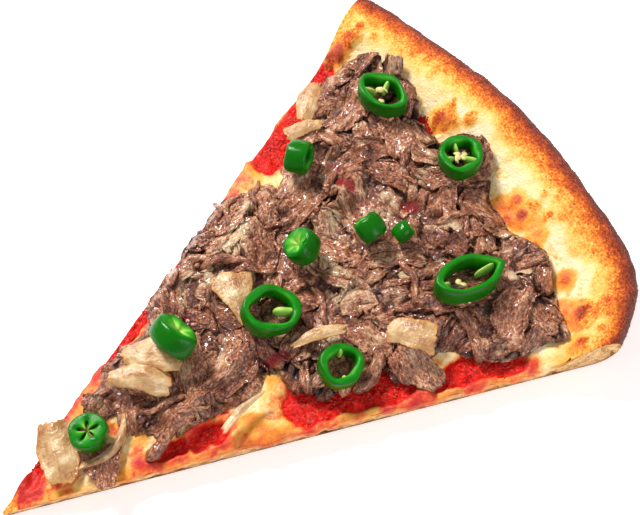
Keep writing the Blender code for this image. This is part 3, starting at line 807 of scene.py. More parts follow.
def sauce_finish(settings):
    """Wet tomato sauce, grainy with pulp."""
    finish = Finish(
        "tomato_sauce", Roughness=0.3, Coat_Weight=0.1, Coat_Roughness=0.05,
        Specular_IOR_Level=0.3, Specular_Tint=(1.0, 0.42, 0.34, 1.0),
    )
    pulp = finish.noise(1.0, 4.0, 0.65, 0.4)
    cloud = finish.noise(4.5, 3.0)
    body = finish.ramp(
        finish.total((pulp, 0.75), (cloud, 0.25)),
        (0.36, srgb(134, 0, 0)),
        (0.45, tuple(settings.sauce_colour)),
        (0.56, srgb(224, 26, 18)),
        (0.68, srgb(246, 100, 62)),
    )
    finish.feed("Base Color", body)
    finish.feed("Roughness", finish.span(pulp, -0.1, 1.9))
    finish.feed("Normal", finish.bump(pulp, 0.6))
    finish.feed("Coat Normal", finish.bump(finish.noise(1.1, 2.0), 0.6))
    return finish.material


def cheese_finish(settings):
    """Melted cheese: cream where it is thick, orange where sauce shines through."""
    finish = Finish(
        "melted_cheese", Roughness=0.34, Subsurface_Weight=0.2, Subsurface_Radius=(0.003, 0.002, 0.001)
    )
    cloud = finish.noise(5.0, 4.0, 0.6, 0.6)
    fine = finish.noise(1.1, 4.0, 0.6)
    body = finish.ramp(
        finish.total((cloud, 0.55), (fine, 0.45)),
        (0.38, srgb(226, 168, 92)),
        (0.49, tuple(settings.cheese_colour)),
        (0.62, srgb(252, 236, 204)),
    )
    thin = finish.total(finish.value("thin"), finish.swing(fine, 0.7))
    tint = finish.ramp(
        thin,
        (0.25, srgb(250, 208, 130)),
        (0.45, srgb(244, 156, 66)),
        (0.7, srgb(230, 88, 36)),
        (0.95, srgb(196, 30, 20)),
    )
    grain = finish.noise(0.7, 4.0, 0.65)
    bake = finish.value("bake")
    bake = finish.total(bake, (finish.span(bake, 0.3, 0.7), finish.swing(grain, 0.6)))
    brown = finish.ramp(
        bake,
        (0.15, srgb(250, 206, 118)),
        (0.36, srgb(246, 164, 50)),
        (0.54, srgb(224, 108, 28)),
        (0.74, srgb(176, 62, 20)),
        (1.0, srgb(118, 36, 16)),
    )
    body = finish.blend(finish.span(bake, 0.1, 0.34), body, brown)
    finish.feed("Base Color", finish.blend(finish.span(thin, 0.25, 0.6), body, tint))
    finish.feed("Roughness", finish.total(finish.span(fine, -0.4, 1.8), (bake, 0.4)))
    bumps = finish.bump(fine, 0.4)
    finish.feed("Normal", finish.bump(finish.noise(3.0), 0.3, bumps))
    return finish.material


def steak_finish(settings):
    """Shaved steak: fine fibres along each shred, with painted shade deep in the heap."""
    finish = Finish(
        "shaved_steak", Roughness=0.4, Coat_Weight=0.65, Coat_Roughness=0.08,
        Subsurface_Weight=0.05, Subsurface_Radius=(0.002, 0.0008, 0.0005),
    )
    fibre = finish.noise(1.0, 3.0, 0.62, 1.6, finish.place((0.75, 1.9, 1.0), "fibre"))
    strand = finish.noise(1.0, 3.0, 0.6, 0.8, finish.place((0.3, 0.7, 1.0), "fibre"))
    grain = finish.noise(0.75, 3.0, 0.65, 0.5)
    cloud = finish.noise(5.0, 3.0)
    tone = finish.value("tone")
    mix = finish.total((fibre, 0.54), (strand, 0.26), (grain, 0.34), (tone, 0.1), (cloud, 0.2))
    meat = finish.ramp(
        mix,
        (0.58, srgb(66, 22, 12)),
        (0.65, srgb(116, 56, 36)),
        (0.715, tuple(settings.steak_colour)),
        (0.78, srgb(210, 138, 98)),
        (0.86, srgb(250, 212, 174)),
    )
    # Painted shade: the meat turns deep brown where it lies below the heap's top
    hollow = finish.span(finish.value("hollow"), 0.1, 0.85)
    meat = finish.blend(hollow, meat, srgb(54, 16, 8))
    film = finish.span(finish.total(finish.value("film"), finish.swing(strand, 1.8)), 0.25, 1.0)
    meat = finish.blend(finish.maths("MULTIPLY", film, 0.72), meat, tuple(settings.milk_colour))
    juice = finish.span(finish.total(finish.value("sauced"), finish.swing(grain, 1.2)), 0.25, 0.7)
    meat = finish.blend(juice, meat, srgb(150, 5, 4))
    finish.feed("Base Color", meat)
    finish.feed("Roughness", finish.total((strand, 0.6), (hollow, 0.5)))
    bumps = finish.bump(fibre, 0.75)
    bumps = finish.bump(grain, 0.4, bumps)
    finish.feed("Normal", finish.bump(strand, 0.8, bumps))
    finish.feed("Coat Normal", finish.bump(finish.noise(1.4, 1.0), 0.6))
    return finish.material


def pepper_finish(settings):
    """Green pepper: glossy dark skin, lighter flesh and pale pith."""
    finish = Finish(
        "green_pepper", Roughness=0.22, Specular_IOR_Level=0.22,
        Subsurface_Weight=0.06, Subsurface_Radius=(0.0008, 0.002, 0.0004),
    )
    cloud = finish.noise(2.2, 3.0)
    fine = finish.noise(0.5, 3.0)
    flesh = finish.total(finish.value("flesh"), finish.swing(cloud, 0.28))
    colour = finish.ramp(
        flesh,
        (0.0, tuple(settings.skin_colour)),
        (0.22, srgb(4, 104, 2)),
        (0.45, srgb(24, 132, 12)),
        (0.66, srgb(70, 164, 34)),
        (0.84, srgb(146, 196, 78)),
        (1.0, srgb(214, 216, 140)),
    )
    finish.feed("Base Color", colour)
    finish.feed("Roughness", finish.span(finish.value("flesh"), -0.5, 1.6))
    bumps = finish.bump(cloud, 0.16)
    finish.feed("Normal", finish.bump(fine, 0.08, bumps))
    return finish.material


def onion_finish(settings):
    """Soft onion, part clear, with fine lengthwise veins."""
    finish = Finish(
        "soft_onion", Roughness=0.3, Coat_Weight=0.5, Coat_Roughness=0.1,
        Subsurface_Weight=0.3, Subsurface_Radius=(0.004, 0.003, 0.0012),
    )
    vein = finish.noise(1.0, 2.0, 0.5, 0.8, finish.place((0.14, 1.3, 1.0), "fibre"))
    cloud = finish.noise(4.5, 3.0)
    body = finish.ramp(
        finish.total((vein, 0.2), (cloud, 0.8)),
        (0.34, srgb(154, 98, 58)),
        (0.47, tuple(settings.onion_colour)),
        (0.58, srgb(208, 172, 124)),
        (0.7, srgb(234, 212, 172)),
    )
    edge = finish.span(finish.value("rim"), 0.72, 1.0)
    finish.feed("Base Color", finish.blend(finish.maths("MULTIPLY", edge, 0.6), body, srgb(196, 132, 52)))
    finish.feed("Roughness", finish.span(cloud, -0.3, 1.9))
    bumps = finish.bump(vein, 0.12)
    bumps = finish.bump(finish.noise(0.9, 3.0, 0.6), 0.34, bumps)
    finish.feed("Normal", finish.bump(finish.noise(1.6, 2.0), 0.25, bumps))
    finish.feed("Coat Normal", bumps)
    return finish.material


def plain_finish(name, low, high, roughness):
    """A mottled finish between two colours, for small loose pieces."""
    finish = Finish(name, Roughness=roughness)
    mottle = finish.noise(0.8, 3.0)
    shade = finish.total(mottle, (finish.value("tone"), 0.4))
    finish.feed("Base Color", finish.ramp(shade, (0.4, low), (0.95, high)))
    finish.feed("Normal", finish.bump(mottle, 0.15))
    return finish.material


# --- Settings ---


def size_setting(name, description, default):
    """A length in metres."""
    return FloatProperty(name=name, description=description, default=default, unit="LENGTH", precision=5)


def colour_setting(name, description, default):
    """A colour in linear light."""
    return FloatVectorProperty(
        name=name, description=description, default=default, subtype="COLOR", size=3, min=0.0, max=1.0
    )


class CrustSettings(bpy.types.PropertyGroup):
    swell: size_setting("Swell", "Height of the rim's soft swells", 0.00035)
    pit_depth: size_setting("Pit depth", "Depth of the holes in the cut dough", 0.0013)
    grain_size: size_setting("Grain", "Size of a baked grain on the rim", 0.0005)
    rim_colour: colour_setting("Rim", "Colour of the rim's darkest edge", srgb(96, 34, 20))


class LayerSettings(bpy.types.PropertyGroup):
    pulp_size: size_setting("Pulp", "Size of a lump of tomato pulp", 0.0009)
    sag: size_setting("Sag", "How far the cheese sags over the cut", 0.0009)
    sauce_colour: colour_setting("Sauce", "Colour of the tomato sauce", srgb(202, 10, 8))
    cheese_colour: colour_setting("Cheese", "Colour of the melted cheese", srgb(246, 214, 150))


class SteakSettings(bpy.types.PropertyGroup):
    shreds: IntProperty(name="Shreds", description="Number of shaved pieces", default=230, min=1)
    cords: IntProperty(name="Cords", description="Places tried for a rolled strand", default=40, min=0)
    shred_length: size_setting("Length", "Length of a long shred", 0.017)
    thickness: size_setting("Thickness", "Thickness of a shred", 0.0009)
    crumb_size: size_setting("Crumb", "Size of a crumb of steak", 0.0016)
    steak_colour: colour_setting("Steak", "Colour of the cooked steak", srgb(162, 92, 62))
    milk_colour: colour_setting("Milky cheese", "Colour of the cheese in the heap", srgb(244, 212, 168))


class VegetableSettings(bpy.types.PropertyGroup):
    seed_length: size_setting("Seed", "Length of a pepper seed", 0.0019)
    skin_colour: colour_setting("Pepper skin", "Colour of the pepper's skin", srgb(10, 98, 2))
    onion_colour: colour_setting("Onion", "Colour of the soft onion", srgb(188, 143, 94))


class StageSettings(bpy.types.PropertyGroup):
    floor_size: size_setting("Floor", "Length of the floor's sides", 3.0)
    floor_colour: colour_setting("Floor colour", "Colour of the floor", (0.92, 0.92, 0.92))


# --- Crust ---


def dough_rows():
    """Shares of the outline's radius at which the dough's rows lie."""
    flat = np.linspace(0.003, 0.80, 112)
    slope = np.linspace(0.80, 0.94, 52)[1:]
    rim = 0.94 + 0.0598 * np.sin(np.linspace(0, math.pi / 2, 34))[1:]
    return np.concatenate([flat, slope, rim])


def cut_pits(points, settings, side):
    """Depth of the holes in a cut face of the dough."""
    along = np.hypot(points[..., 0], points[..., 1])
    height = points[..., 2]
    holes = smooth((rough(along, height * 1.6, 2.6, 40 + side) - 0.18) / 0.4)
    return holes * settings.pit_depth / MM + 0.22 * rough(along, height, 1.6, 43 + side)


def make_crust(settings):
    """The dough: a swept body with a swelling rim, blisters and pitted cuts."""
    rows = dough_rows()
    half = 110
    walls = 8
    top_angles = np.linspace(HALF_ANGLE, -HALF_ANGLE, 2 * half + 1)
    low_angles = np.linspace(-HALF_ANGLE, HALF_ANGLE, half + 1)
    share = rows[:, None]

    radius = share * outer_radius(top_angles)[None, :]
    top = on_slice(radius, top_angles[None, :] + 0 * radius, dough_top(radius, top_angles[None, :]))
    along, across = top[..., 0], top[..., 1]
    height, scorch = blisters(along, across)
    near_rim = smooth((radius - 120) / 25)
    swell = settings.swell / MM * (rough(along, across, 7.0, 3) + 0.4 * rough(along, across, 2.0, 4))
    column = np.arange(2 * half + 1)
    edge_fade = np.minimum(1, np.minimum(column, column[::-1]) / 3)[None, :]
    top = displace(top[:, ::-1], ((height + swell) * near_rim * edge_fade)[:, ::-1])[:, ::-1]
    along, across = top[..., 0], top[..., 1]
    bake = np.maximum(baked(along, across), scorch)
    tip_bake = 0.42 + 0.2 * rough(along, across, 5.0, 6)
    bake = np.where(radius < 100, tip_bake, bake)
    rim = rows > 0.9
    SURFACES["rim"] = (top[rim][:, ::-1], smooth((bake[rim][:, ::-1] - 0.4) / 0.3))

    radius = share * outer_radius(low_angles)[None, :]
    low = on_slice(radius, low_angles[None, :] + 0 * radius, dough_bottom(radius, low_angles[None, :]))
    under = 1 - smooth((low[..., 2] - 0.5) / 5.0)
    low_bake = 0.62 + 0.3 * rough(low[..., 0], low[..., 1], 6.0, 7)

    steps = ((np.arange(walls) + 1) / (walls + 1)) ** 1.3
    far_low, far_top = low[:, -1:], top[:, :1]
    near_top, near_low = top[:, -1:], low[:, :1]
    far = far_low + (far_top - far_low) * steps[None, :, None]
    near = near_top + (near_low - near_top) * steps[None, :, None]
    for wall, side in ((far, 1), (near, -1)):
        inward = np.array((math.sin(HALF_ANGLE), -side * math.cos(HALF_ANGLE), 0))
        wall += inward * (cut_pits(wall, settings, side) * smooth((wall[..., 0] - 4) / 10))[..., None]

    loops = np.concatenate([low, far, top, near], 1)
    wall_zero = np.zeros(far.shape[:2])
    toast = 1 - smooth((steps[None, :] * (far_top - far_low)[..., 2] - 0.35) / 0.8)
    crumb = np.concatenate([0 * under, wall_zero + 1, 0 * bake, wall_zero + 1], 1)
    unders = np.concatenate([under, toast, 0 * bake, toast[:, ::-1]], 1)
    bakes = np.concatenate([low_bake, wall_zero, bake, wall_zero], 1)

    shell = Shell()
    total, sides = loops.shape[:2]
    shell.add_points(loops, bake=bakes, crumb=crumb, under=unders)
    grid = np.arange(total * sides).reshape(total, sides)
    shell.quads.append(grid_quads(np.concatenate([grid, grid[:, :1]], 1))[:, ::-1])
    shell.others.append([int(k) for k in grid[0][::-1]])
    # The outer end is closed by faces between the last points below and above
    last = [int(k) for k in grid[-1]]
    tops = last[half + 1 + walls : half + 1 + walls + 2 * half + 1][::-1]
    far_wall = last[half + 1 : half + 1 + walls]
    near_wall = last[-walls:]
    for k in range(half):
        face = [last[k + 1], last[k], *tops[2 * k : 2 * k + 3]]
        if k == 0:
            face = [last[1], last[0], *near_wall[::-1], *tops[0:3]]
        if k == half - 1:
            face = [last[k + 1], last[k], *tops[2 * k : 2 * k + 3], *far_wall[::-1]]
        shell.others.append(face[::-1])
    return shell.build("crust", crust_finish(settings), ["dough"])


# --- Layers ---


def layer_grid(start, reach, rows, columns):
    """A grid of radius and angle over the flat of the slice, close to both cuts."""
    share = np.linspace(start, reach, rows)[:, None]
    angle = np.linspace(-HALF_ANGLE, HALF_ANGLE, columns)[None, :]
    radius = share * crest_radius(angle)
    return radius, angle + 0 * radius


def make_sauce(settings):
    """The sauce: a lumpy layer on the dough, seen through the cheese and at the cuts."""
    radius, angle = layer_grid(0.052, 0.946, 210, 170)
    base = dough_top(radius, angle)
    points = on_slice(radius, angle, base)
    along, across = points[..., 0], points[..., 1]
    lumps = 0.28 * rough(along, across, 2.6, 21) + 0.2 * rough(along, across, 1.1, 22)
    share = radius / crest_radius(angle)
    fade = smooth((share - 0.07) / 0.05) * smooth((0.945 - share) / 0.03)
    top = on_slice(radius, angle, base + 0.1 + (SAUCE_LIFT + SAUCE_THICKNESS - 0.1 + lumps) * fade)
    bottom = on_slice(radius, angle, base + 0.05)
    SURFACES["sauce"] = (top, smooth(window_depth(along, across) / 0.8))
    shell = Shell()
    shell.add_sheet(top, bottom)
    return shell.build("sauce_layer", sauce_finish(settings), ["sauce"])


def make_cheese(settings):
    """The cheese: an uneven sheet that thins out round its openings and sags at the cuts."""
    columns = 190
    radius, angle = layer_grid(0.012, 0.99, 236, columns)
    base = dough_top(radius, angle)
    flat = on_slice(radius, angle, base)
    along, across = flat[..., 0], flat[..., 1]
    opening = window_depth(along, across)
    cover = smooth(-(opening - 0.2) / 1.5)
    outer_fade = 1 - smooth((radius / crest_radius(angle) - 0.90) / 0.085)
    swell = 0.5 * rough(along, across, 7.0, 24) + 0.22 * rough(along, across, 2.4, 25)
    blister, scorch = blisters(along, across)
    spots = smooth((rough(along, across, 7.0, 27) - 0.42) / 0.3)
    outer_fade = outer_fade * smooth((radius / crest_radius(angle) - 0.008) / 0.05)
    full = CHEESE_LIFT + CHEESE_THICKNESS + swell - 1.2 * (1 - smooth((radius - 4) / 22))
    depth = (full + 0.8) * outer_fade - 0.8
    sunk = SAUCE_LIFT + SAUCE_THICKNESS - 1.0
    height = base + sunk + (depth - sunk) * cover + blister * smooth((radius - 120) / 25)
    from_cut = (HALF_ANGLE - np.abs(angle)) * radius
    lip = np.exp(-((from_cut / 1.5) ** 2)) * smooth((radius - 14) / 24)
    side = np.sign(angle)
    sag = settings.sag / MM * (0.6 + 0.9 * rough(along, across + 50 * side, 5.0, 26))
    top = on_slice(radius, angle, height - 0.9 * lip * cover)
    out = np.maximum(0, sag) * lip * cover * outer_fade
    top[..., 0] -= side * out * np.sin(angle)
    top[..., 1] += side * out * np.cos(angle)
    bottom = on_slice(radius, angle, np.minimum(base + 0.1, height - 0.3))
    column = np.arange(columns)
    border = np.minimum(column, column[::-1])[None, :] == 0
    top[..., 2] = np.where(border & (depth > 0.6), base + 0.35, top[..., 2])
    bake = np.maximum(baked(along, across) * smooth((radius - 128) / 12), scorch)
    bake = np.maximum(bake, 0.62 * spots * smooth((-opening - 1) / 3) * (1 - smooth((radius - 120) / 20)))
    edge_gold = 0.34 * np.exp(-((from_cut / 4.0) ** 2)) + 0.14 + 0.22 * rough(along, across, 5.0, 28)
    edge_gold = edge_gold * (0.62 + 0.38 * smooth((radius - 20) / 20))
    bake = np.maximum(bake, edge_gold * (1 - smooth((radius - 130) / 15)))
    halo = np.exp(-((opening + 1.4) / 2.6) ** 2) * (0.6 + 0.5 * rough(along, across, 5.0, 14))
    thin = np.clip(1 - cover * 1.25, 0, 1) + np.clip(halo, 0, 1)
    stain = np.clip(0.54 + 0.4 * rough(along, across, 1.5, 29) + across / 34, 0, 1)
    thin = thin * (1 - smooth((radius - 150) / 6)) + stain * (1 - smooth((radius - 16) / 18))
    shell = Shell()
    shell.add_sheet(top, bottom, bake=bake, thin=np.clip(thin, 0, 1))
    return shell.build("cheese_layer", cheese_finish(settings), ["cheese"])


# --- Steak ---


def shred_form(rng, length, width, fold):
    """A crumpled shred on its own axes: points in plan, lift and edge from 0 to 1."""
    rows = int(np.clip(length / 0.48, 10, 42))
    columns = int(np.clip(width / 0.42, 8, 30))
    s = np.linspace(-1, 1, rows)[:, None]
    q = np.linspace(-1, 1, columns)[None, :]
    seed = int(rng.integers(1 << 20))
    border = np.sign(q) + 0 * s
    ragged = 1 + 0.2 * rough(length / 5 * s + 0 * q, 7.0 * border, 1.0, seed, 3)
    half = width / 2 * (1 - 0.5 * np.abs(s) ** 3) * ragged
    ends = 1 + 0.16 * rough(width / 5 * q + 0 * s, 5.0 * np.sign(s) + 0 * q, 1.0, seed + 1, 3)
    x = s * length / 2 * ends
    # Long edges roll up and over into cords
    roll_start = 0.76
    past = np.clip((np.abs(q) - roll_start) / (1 - roll_start), 0, 1)
    rolls = np.where(q > 0, rng.uniform(0, 1.3), rng.uniform(0, 1.3))
    rolls = np.clip(rolls + 0.5 * rough(length / 6 * s, border, 1.0, seed + 6), 0, 1.35)
    turn = math.pi * rolls * past
    size = np.minimum(0.28 * half, rng.uniform(0.45, 0.8))
    flat = np.abs(q) * half
    rolled = roll_start * half + size * np.sin(turn)
    is_rolled = (past > 0) & (rolls > 0.25)
    y = np.sign(q) * np.where(is_rolled, rolled, flat)
    lift = np.where(is_rolled, size * (1 - np.cos(turn)), 0.0)
    # Folds run along the shred, wander and merge
    drift = 1.5 * rough(0.45 * x, y, 3.4, seed + 2)
    for octave, (span, share) in enumerate(((rng.uniform(3.6, 5.6), 1.0), (rng.uniform(2.0, 2.8), 0.5))):
        skew = rng.uniform(-0.35, 0.35)
        phase = math.tau * (y + skew * x) / span + drift * (1 + 0.6 * octave) + rng.uniform(0, 6.28)
        strength = fold * share * 0.62 * (1 + 0.8 * rough(x, y, 5.0, seed + 7 + octave))
        lift = lift + strength * np.sin(phase)
        y = y - 0.6 * strength * np.cos(phase)
    cross = fold * rng.uniform(0.25, 0.75)
    across_phase = math.tau * x / rng.uniform(5.5, 9.0) + rng.uniform(0, 6.28) + drift
    lift = lift + cross * np.sin(across_phase)
    x = x - 0.6 * cross * np.cos(across_phase)
    lift = lift + 0.34 * rough(x, y, 1.9, seed + 3) + 0.17 * rough(0.6 * x, y, 0.85, seed + 4, 2)
    edge = np.maximum(np.abs(s), np.abs(q))
    press = smooth((edge - 0.55) / 0.45) * np.where(is_rolled, 0.15, 1.0)
    lift = lift * (1 - 0.7 * press) - 0.3 * press
    y = y + rng.uniform(-0.2, 0.2) * length * (s * s - 0.4)
    return x, y, lift, edge


def lay_cord(shell, ground, place, seed, film=0.0, rise=0.75):
    """A rolled strand of steak that follows what lies under it."""
    centre_along, centre_across, length, width, turn = place
    rows, sides = int(length / 0.42), 18
    s = np.linspace(-1, 1, rows)[:, None]
    bearing = np.linspace(0, math.tau, sides, endpoint=False)[None, :]
    angle = math.radians(turn)
    bow = 0.09 * length * np.sin(2.2 * s + seed) + 0.3 * rough(2 * s, 0 * s, 1.0, seed)
    mid_along, mid_across = turned(s * length / 2, bow, angle, centre_along, centre_across)
    narrowing = np.sqrt(np.clip(1 - np.abs(s) ** 3.5, 0.02, 1))
    size = width / 2 * narrowing * (1 + 0.2 * rough(3 * s, 0 * s, 1.0, seed + 1))
    twist = 0.1 * np.sin(4 * bearing + 1.4 * s * length / width + seed)
    groove = twist + 0.1 * rough(3 * s + 0 * bearing, 2 * bearing, 1.0, seed + 2)
    size = size * (1 + groove)
    side = size * np.cos(bearing)
    level = ground.support(mid_along, mid_across, 1.2) + size.mean(1, keepdims=True) * rise
    along = mid_along - side * math.sin(angle)
    across = mid_across + side * math.cos(angle)
    height = level + 0.85 * size * np.sin(bearing)
    loops = np.stack([along, across, height], -1)[:, ::-1]
    uv = np.stack([s * length / 2 + 0 * bearing + 31 * seed, bearing * width / 2 + 0 * s], -1)[:, ::-1]
    # Painted shade on the strand's underside
    hollow = smooth(-np.sin(bearing)) * 0.7 + 0 * s
    values = {"fibre": uv, "tone": 0.5 + 0 * side, "hollow": hollow[:, ::-1], "film": film + 0 * side}
    shell.add_loops(loops, sauced=0 * side, **values)
    upper = height.max(1)
    for offset in np.linspace(-0.7, 0.7, 5):
        strip = offset * size[:, 0]
        strip_along = mid_along[:, 0] - strip * math.sin(angle)
        strip_across = mid_across[:, 0] + strip * math.cos(angle)
        ground.raise_to(strip_along, strip_across, upper - 0.5 * abs(offset))


def lay_shred(shell, ground, rng, centre, heading, form, settings, tone, margin=1.0):
    """Turns a shred, keeps it within the heap and drapes it over what lies there."""
    x, y, lift, edge = form
    along, across = turned(x, y, heading, *centre)
    for _ in range(2):
        depth = ground.read(ground.inside, along, across)
        push = np.clip(-margin - depth, 0, 6)
        slope_along, slope_across = ground.inward(along, across)
        along = along + push * slope_along / 2
        across = across + push * slope_across / 2
    thickness = settings.thickness / MM
    support = ground.support(along, across)
    top = support + thickness * 0.6 + lift - np.percentile(lift, 16)
    top = np.maximum(top, ground.read(ground.floor, along, across) + 0.25)
    wall = thickness * np.sqrt(np.maximum(0.0, 1 - edge**6))
    uv = np.stack([x + rng.uniform(-300, 300), y + rng.uniform(-300, 300)], -1)
    ground.raise_to(along, across, top)
    top = top - 0.9 * (thickness - wall)
    upper = np.stack([along, across, top], -1)
    lower = np.stack([along, across, top - wall], -1)
    shell.append((upper, lower, uv, tone))


def smeared(along, across):
    """How thick the milky cheese lies where it is smeared over the steak, from 0 to 1."""
    film = np.zeros(np.shape(along))
    for smear in SMEARS:
        film = np.maximum(film, smooth(0.55 + 0.4 * ellipse_depth(along, across, smear)))
    return np.clip(film * (0.85 + 0.5 * rough(along, across, 3.0, 62)), 0, 1)


def milk_film(along, across):
    """How thick a film of milky cheese lies over the steak, from 0 to 1."""
    haze = 0.46 * smooth((rough(along, across, 7.0, 61) + 0.05) / 0.5)
    return np.maximum(smeared(along, across), haze)


def sauced(along, across):
    """Where sauce has run into the heap's pits, from 0 to 1."""
    deepest = np.full(np.shape(along), -9.0)
    for place in SAUCE_SPOTS:
        deepest = np.maximum(deepest, ellipse_depth(along, across, place))
    return smooth(0.5 + 0.55 * deepest)


def make_core(ground, finish):
    """The heap's core under the shreds, kept dark by a low tone and painted shade."""
    shell = Shell()
    along, across = ground.along, ground.across
    base = ground.floor - 0.4
    relief = 0.5 * rough(along, across, 3.0, 71) + 0.3 * rough(along, across, 1.3, 72)
    round_over = smooth((ground.inside - 0.2) / 3.0)
    top = base + 0.2 + (ground.core - base + relief) * round_over
    mask = ground.inside > 0.4
    cells = mask[:-1, :-1] & mask[1:, :-1] & mask[1:, 1:] & mask[:-1, 1:]
    uv = np.stack([along, across], -1)
    # A low tone and painted shade darken the core, as meat in shadow
    values = {"fibre": uv, "tone": 0.1, "hollow": 0.4, "film": 0.0, "sauced": sauced(along, across)}
    upper = np.stack([along, across, top], -1)
    lower = np.stack([along, across, base], -1)
    shell.add_slab(upper, lower, cells, **values)
    return shell.build("steak_core", finish, ["steak_heap"])


def choose_place(ground, rng, cells):
    """A place where the heap still lies furthest below its height."""
    picks = cells[rng.integers(len(cells), size=10)]
    short = ground.wanted[picks[:, 0], picks[:, 1]] - ground.height[picks[:, 0], picks[:, 1]]
    i, j = picks[int(np.argmax(short))]
    return float(ground.along[i, j]), float(ground.across[i, j])


def edge_heading(ground, centre):
    """Direction along the heap's outline near a place."""
    slope_along, slope_across = ground.inward(np.array([centre[0]]), np.array([centre[1]]))
    return math.atan2(float(slope_across[0]), float(slope_along[0])) + math.pi / 2


def heap_relief(ground):
    """Lumps and dark pits of the heap, in mm, which fade at its outline and under pieces."""
    along, across = ground.along, ground.across
    relief = 1.1 * rough(along, across, 9.0, 73)
    for place in HOLLOWS:
        depth = ellipse_depth(along, across, place) / place[3]
        relief -= 3.4 * smooth(depth * 1.6 + 0.2)
    for place in SAUCE_SPOTS:
        depth = ellipse_depth(along, across, place) / place[3]
        relief -= 3.0 * smooth(depth + 0.6)
    relief *= smooth((gap_to_pieces(along, across) + 2.0) / 4.0)
    return relief * smooth((ground.inside - 1.0) / 4.0)


# Shares of the shreds after which smaller ones, and then narrow strips, are laid too
SMALLER_AFTER = 0.6
STRIPS_AFTER = 0.75
# How many meshes the shreds are shared out over
SHRED_GROUPS = 4
# Least height over the floor that the heap is scaled from, in mm, and the limits of the scale
LEAST_LEVEL = 0.5
SCALE_LIMITS = (0.3, 1.4)


def heap_scale(have, want):
    """How much heights over the floor are scaled to come near the wanted ones."""
    return np.clip(np.maximum(want, LEAST_LEVEL) / np.maximum(have, LEAST_LEVEL), *SCALE_LIMITS)


def make_steak(ground, settings):
    """The heap: shaved shreds draped one over the other, then large sheets and rolled strands."""
    rng = np.random.default_rng(11)
    finish = steak_finish(settings)
    make_core(ground, finish)
    cells = np.argwhere(ground.inside > 1.2)
    laid = []
    total = settings.shreds
    long_shred = settings.shred_length / MM
    for number in range(total):
        centre = choose_place(ground, rng, cells)
        depth = float(ground.read(ground.inside, np.array([centre[0]]), np.array([centre[1]]))[0])
        room = min(1.0, 0.45 + depth / 14)
        kind = rng.uniform(0, 1)
        length = long_shred * rng.uniform(0.8, 1.25) * room
        width = rng.uniform(8.0, 13.5) * room
        if number > SMALLER_AFTER * total:
            length = long_shred * rng.uniform(0.55, 1.0) * room
            width = rng.uniform(5.5, 10.0) * room
        if number > STRIPS_AFTER * total and kind < 0.3:
            length = long_shred * rng.uniform(0.35, 0.8) * room
            width = rng.uniform(2.0, 3.6)
        heading = rng.uniform(0, math.tau)
        if depth < 7:
            heading = edge_heading(ground, centre) + rng.normal(0, 0.8)
        form = shred_form(rng, length, width, rng.uniform(0.7, 1.25) * min(1.0, width / 6))
        lay_shred(laid, ground, rng, centre, heading, form, settings, rng.uniform(0, 1))
    for along, across, length, width, turn, fold in SHEETS:
        form = shred_form(rng, length, width, fold)
        lay_shred(laid, ground, rng, (along, across), math.radians(turn), form, settings, 0.6, 9.0)
    final = soften(ground.height, 3.4)
    floor = ground.floor
    wanted = soften(ground.wanted, 1.2) + heap_relief(ground)
    total = len(laid)
    for group in range(SHRED_GROUPS):
        shell = Shell()
        first, last = (k * total // SHRED_GROUPS for k in (group, group + 1))
        for upper, lower, uv, tone in laid[first:last]:
            along, across = upper[..., 0], upper[..., 1]
            low = ground.read(floor, along, across)
            have = np.maximum(ground.read(final, along, across) - low, LEAST_LEVEL)
            scale = heap_scale(have, ground.read(wanted, along, across) - low)
            for face in (upper, lower):
                face[..., 2] = low + (face[..., 2] - low) * scale
            level = low + have * scale
            # Painted shade: how far a shred lies below the heap's softened top darkens its colour
            hollow = np.clip((level - upper[..., 2]) / 2.6, 0, 1)
            film = milk_film(along, across) * (1 - hollow)
            calm = 0.65 * smooth((film - 0.4) / 0.5)
            for face in (upper, lower):
                face[..., 2] += (level - 0.4 - face[..., 2]) * calm
            values = {"fibre": uv, "tone": tone + 0 * along, "hollow": hollow, "film": film}
            shell.add_sheet(upper, lower, **values, sauced=sauced(along, across))
        shell.build(f"steak_shreds_{group + 1}", finish)
    ground.height = floor + (ground.height - floor) * heap_scale(final - floor, wanted - floor)
    shell = Shell()
    for number, place in enumerate(CORDS):
        lay_cord(shell, ground, place, number)
    for number in range(settings.cords):
        centre = cells[rng.integers(len(cells))]
        along, across = ground.along[tuple(centre)], ground.across[tuple(centre)]
        place = (along, across, rng.uniform(6, 13), rng.uniform(1.2, 2.1), rng.uniform(0, 360))
        if gap_to_pieces(along, across) > 5.0:
            lay_cord(shell, ground, place, 20 + number, film=rng.uniform(0, 0.5), rise=0.3)
    shell.build("steak_cords", finish)
    top = np.stack([ground.along, ground.across, ground.height - 0.3], -1)
    open_heap = smooth((ground.inside - 1.0) / 2.0) * (gap_to_pieces(ground.along, ground.across) > 1.0)
    heap_rows = slice(24, 226, 2)
    SURFACES["heap"] = (top[heap_rows, ::2], open_heap[heap_rows, ::2])
    return finish


def gap_to_pieces(along, across):
    """Distance in plan to the box of the nearest pepper or onion piece."""
    gap = np.full(np.shape(along), 99.0)
    for name in (*PEPPERS, *ONIONS):
        low, high = (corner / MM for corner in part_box(name))
        away_along = np.abs(along - CENTRE_ALONG - (low.x + high.x) / 2) - (high.x - low.x) / 2
        away_across = np.abs(across - CENTRE_ACROSS - (low.y + high.y) / 2) - (high.y - low.y) / 2
        gap = np.minimum(gap, np.maximum(away_along, away_across))
    return gap


# --- Pepper and onion ---


def node_middle(node):
    """Middle of a node's box, in mm on the slice."""
    low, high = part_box(node)
    middle = (low + high) / (2 * MM)
    return np.array((middle.x + CENTRE_ALONG, middle.y + CENTRE_ACROSS, middle.z))


def lean_matrix(turn, lean, heading):
    """How a ring is turned and then leant towards a heading."""
    turn, lean, heading = (math.radians(value) for value in (turn, lean, heading))
    axis = Vector((-math.sin(heading), math.cos(heading), 0))
    return np.array(Matrix.Rotation(lean, 3, axis) @ Matrix.Rotation(turn, 3, "Z"))


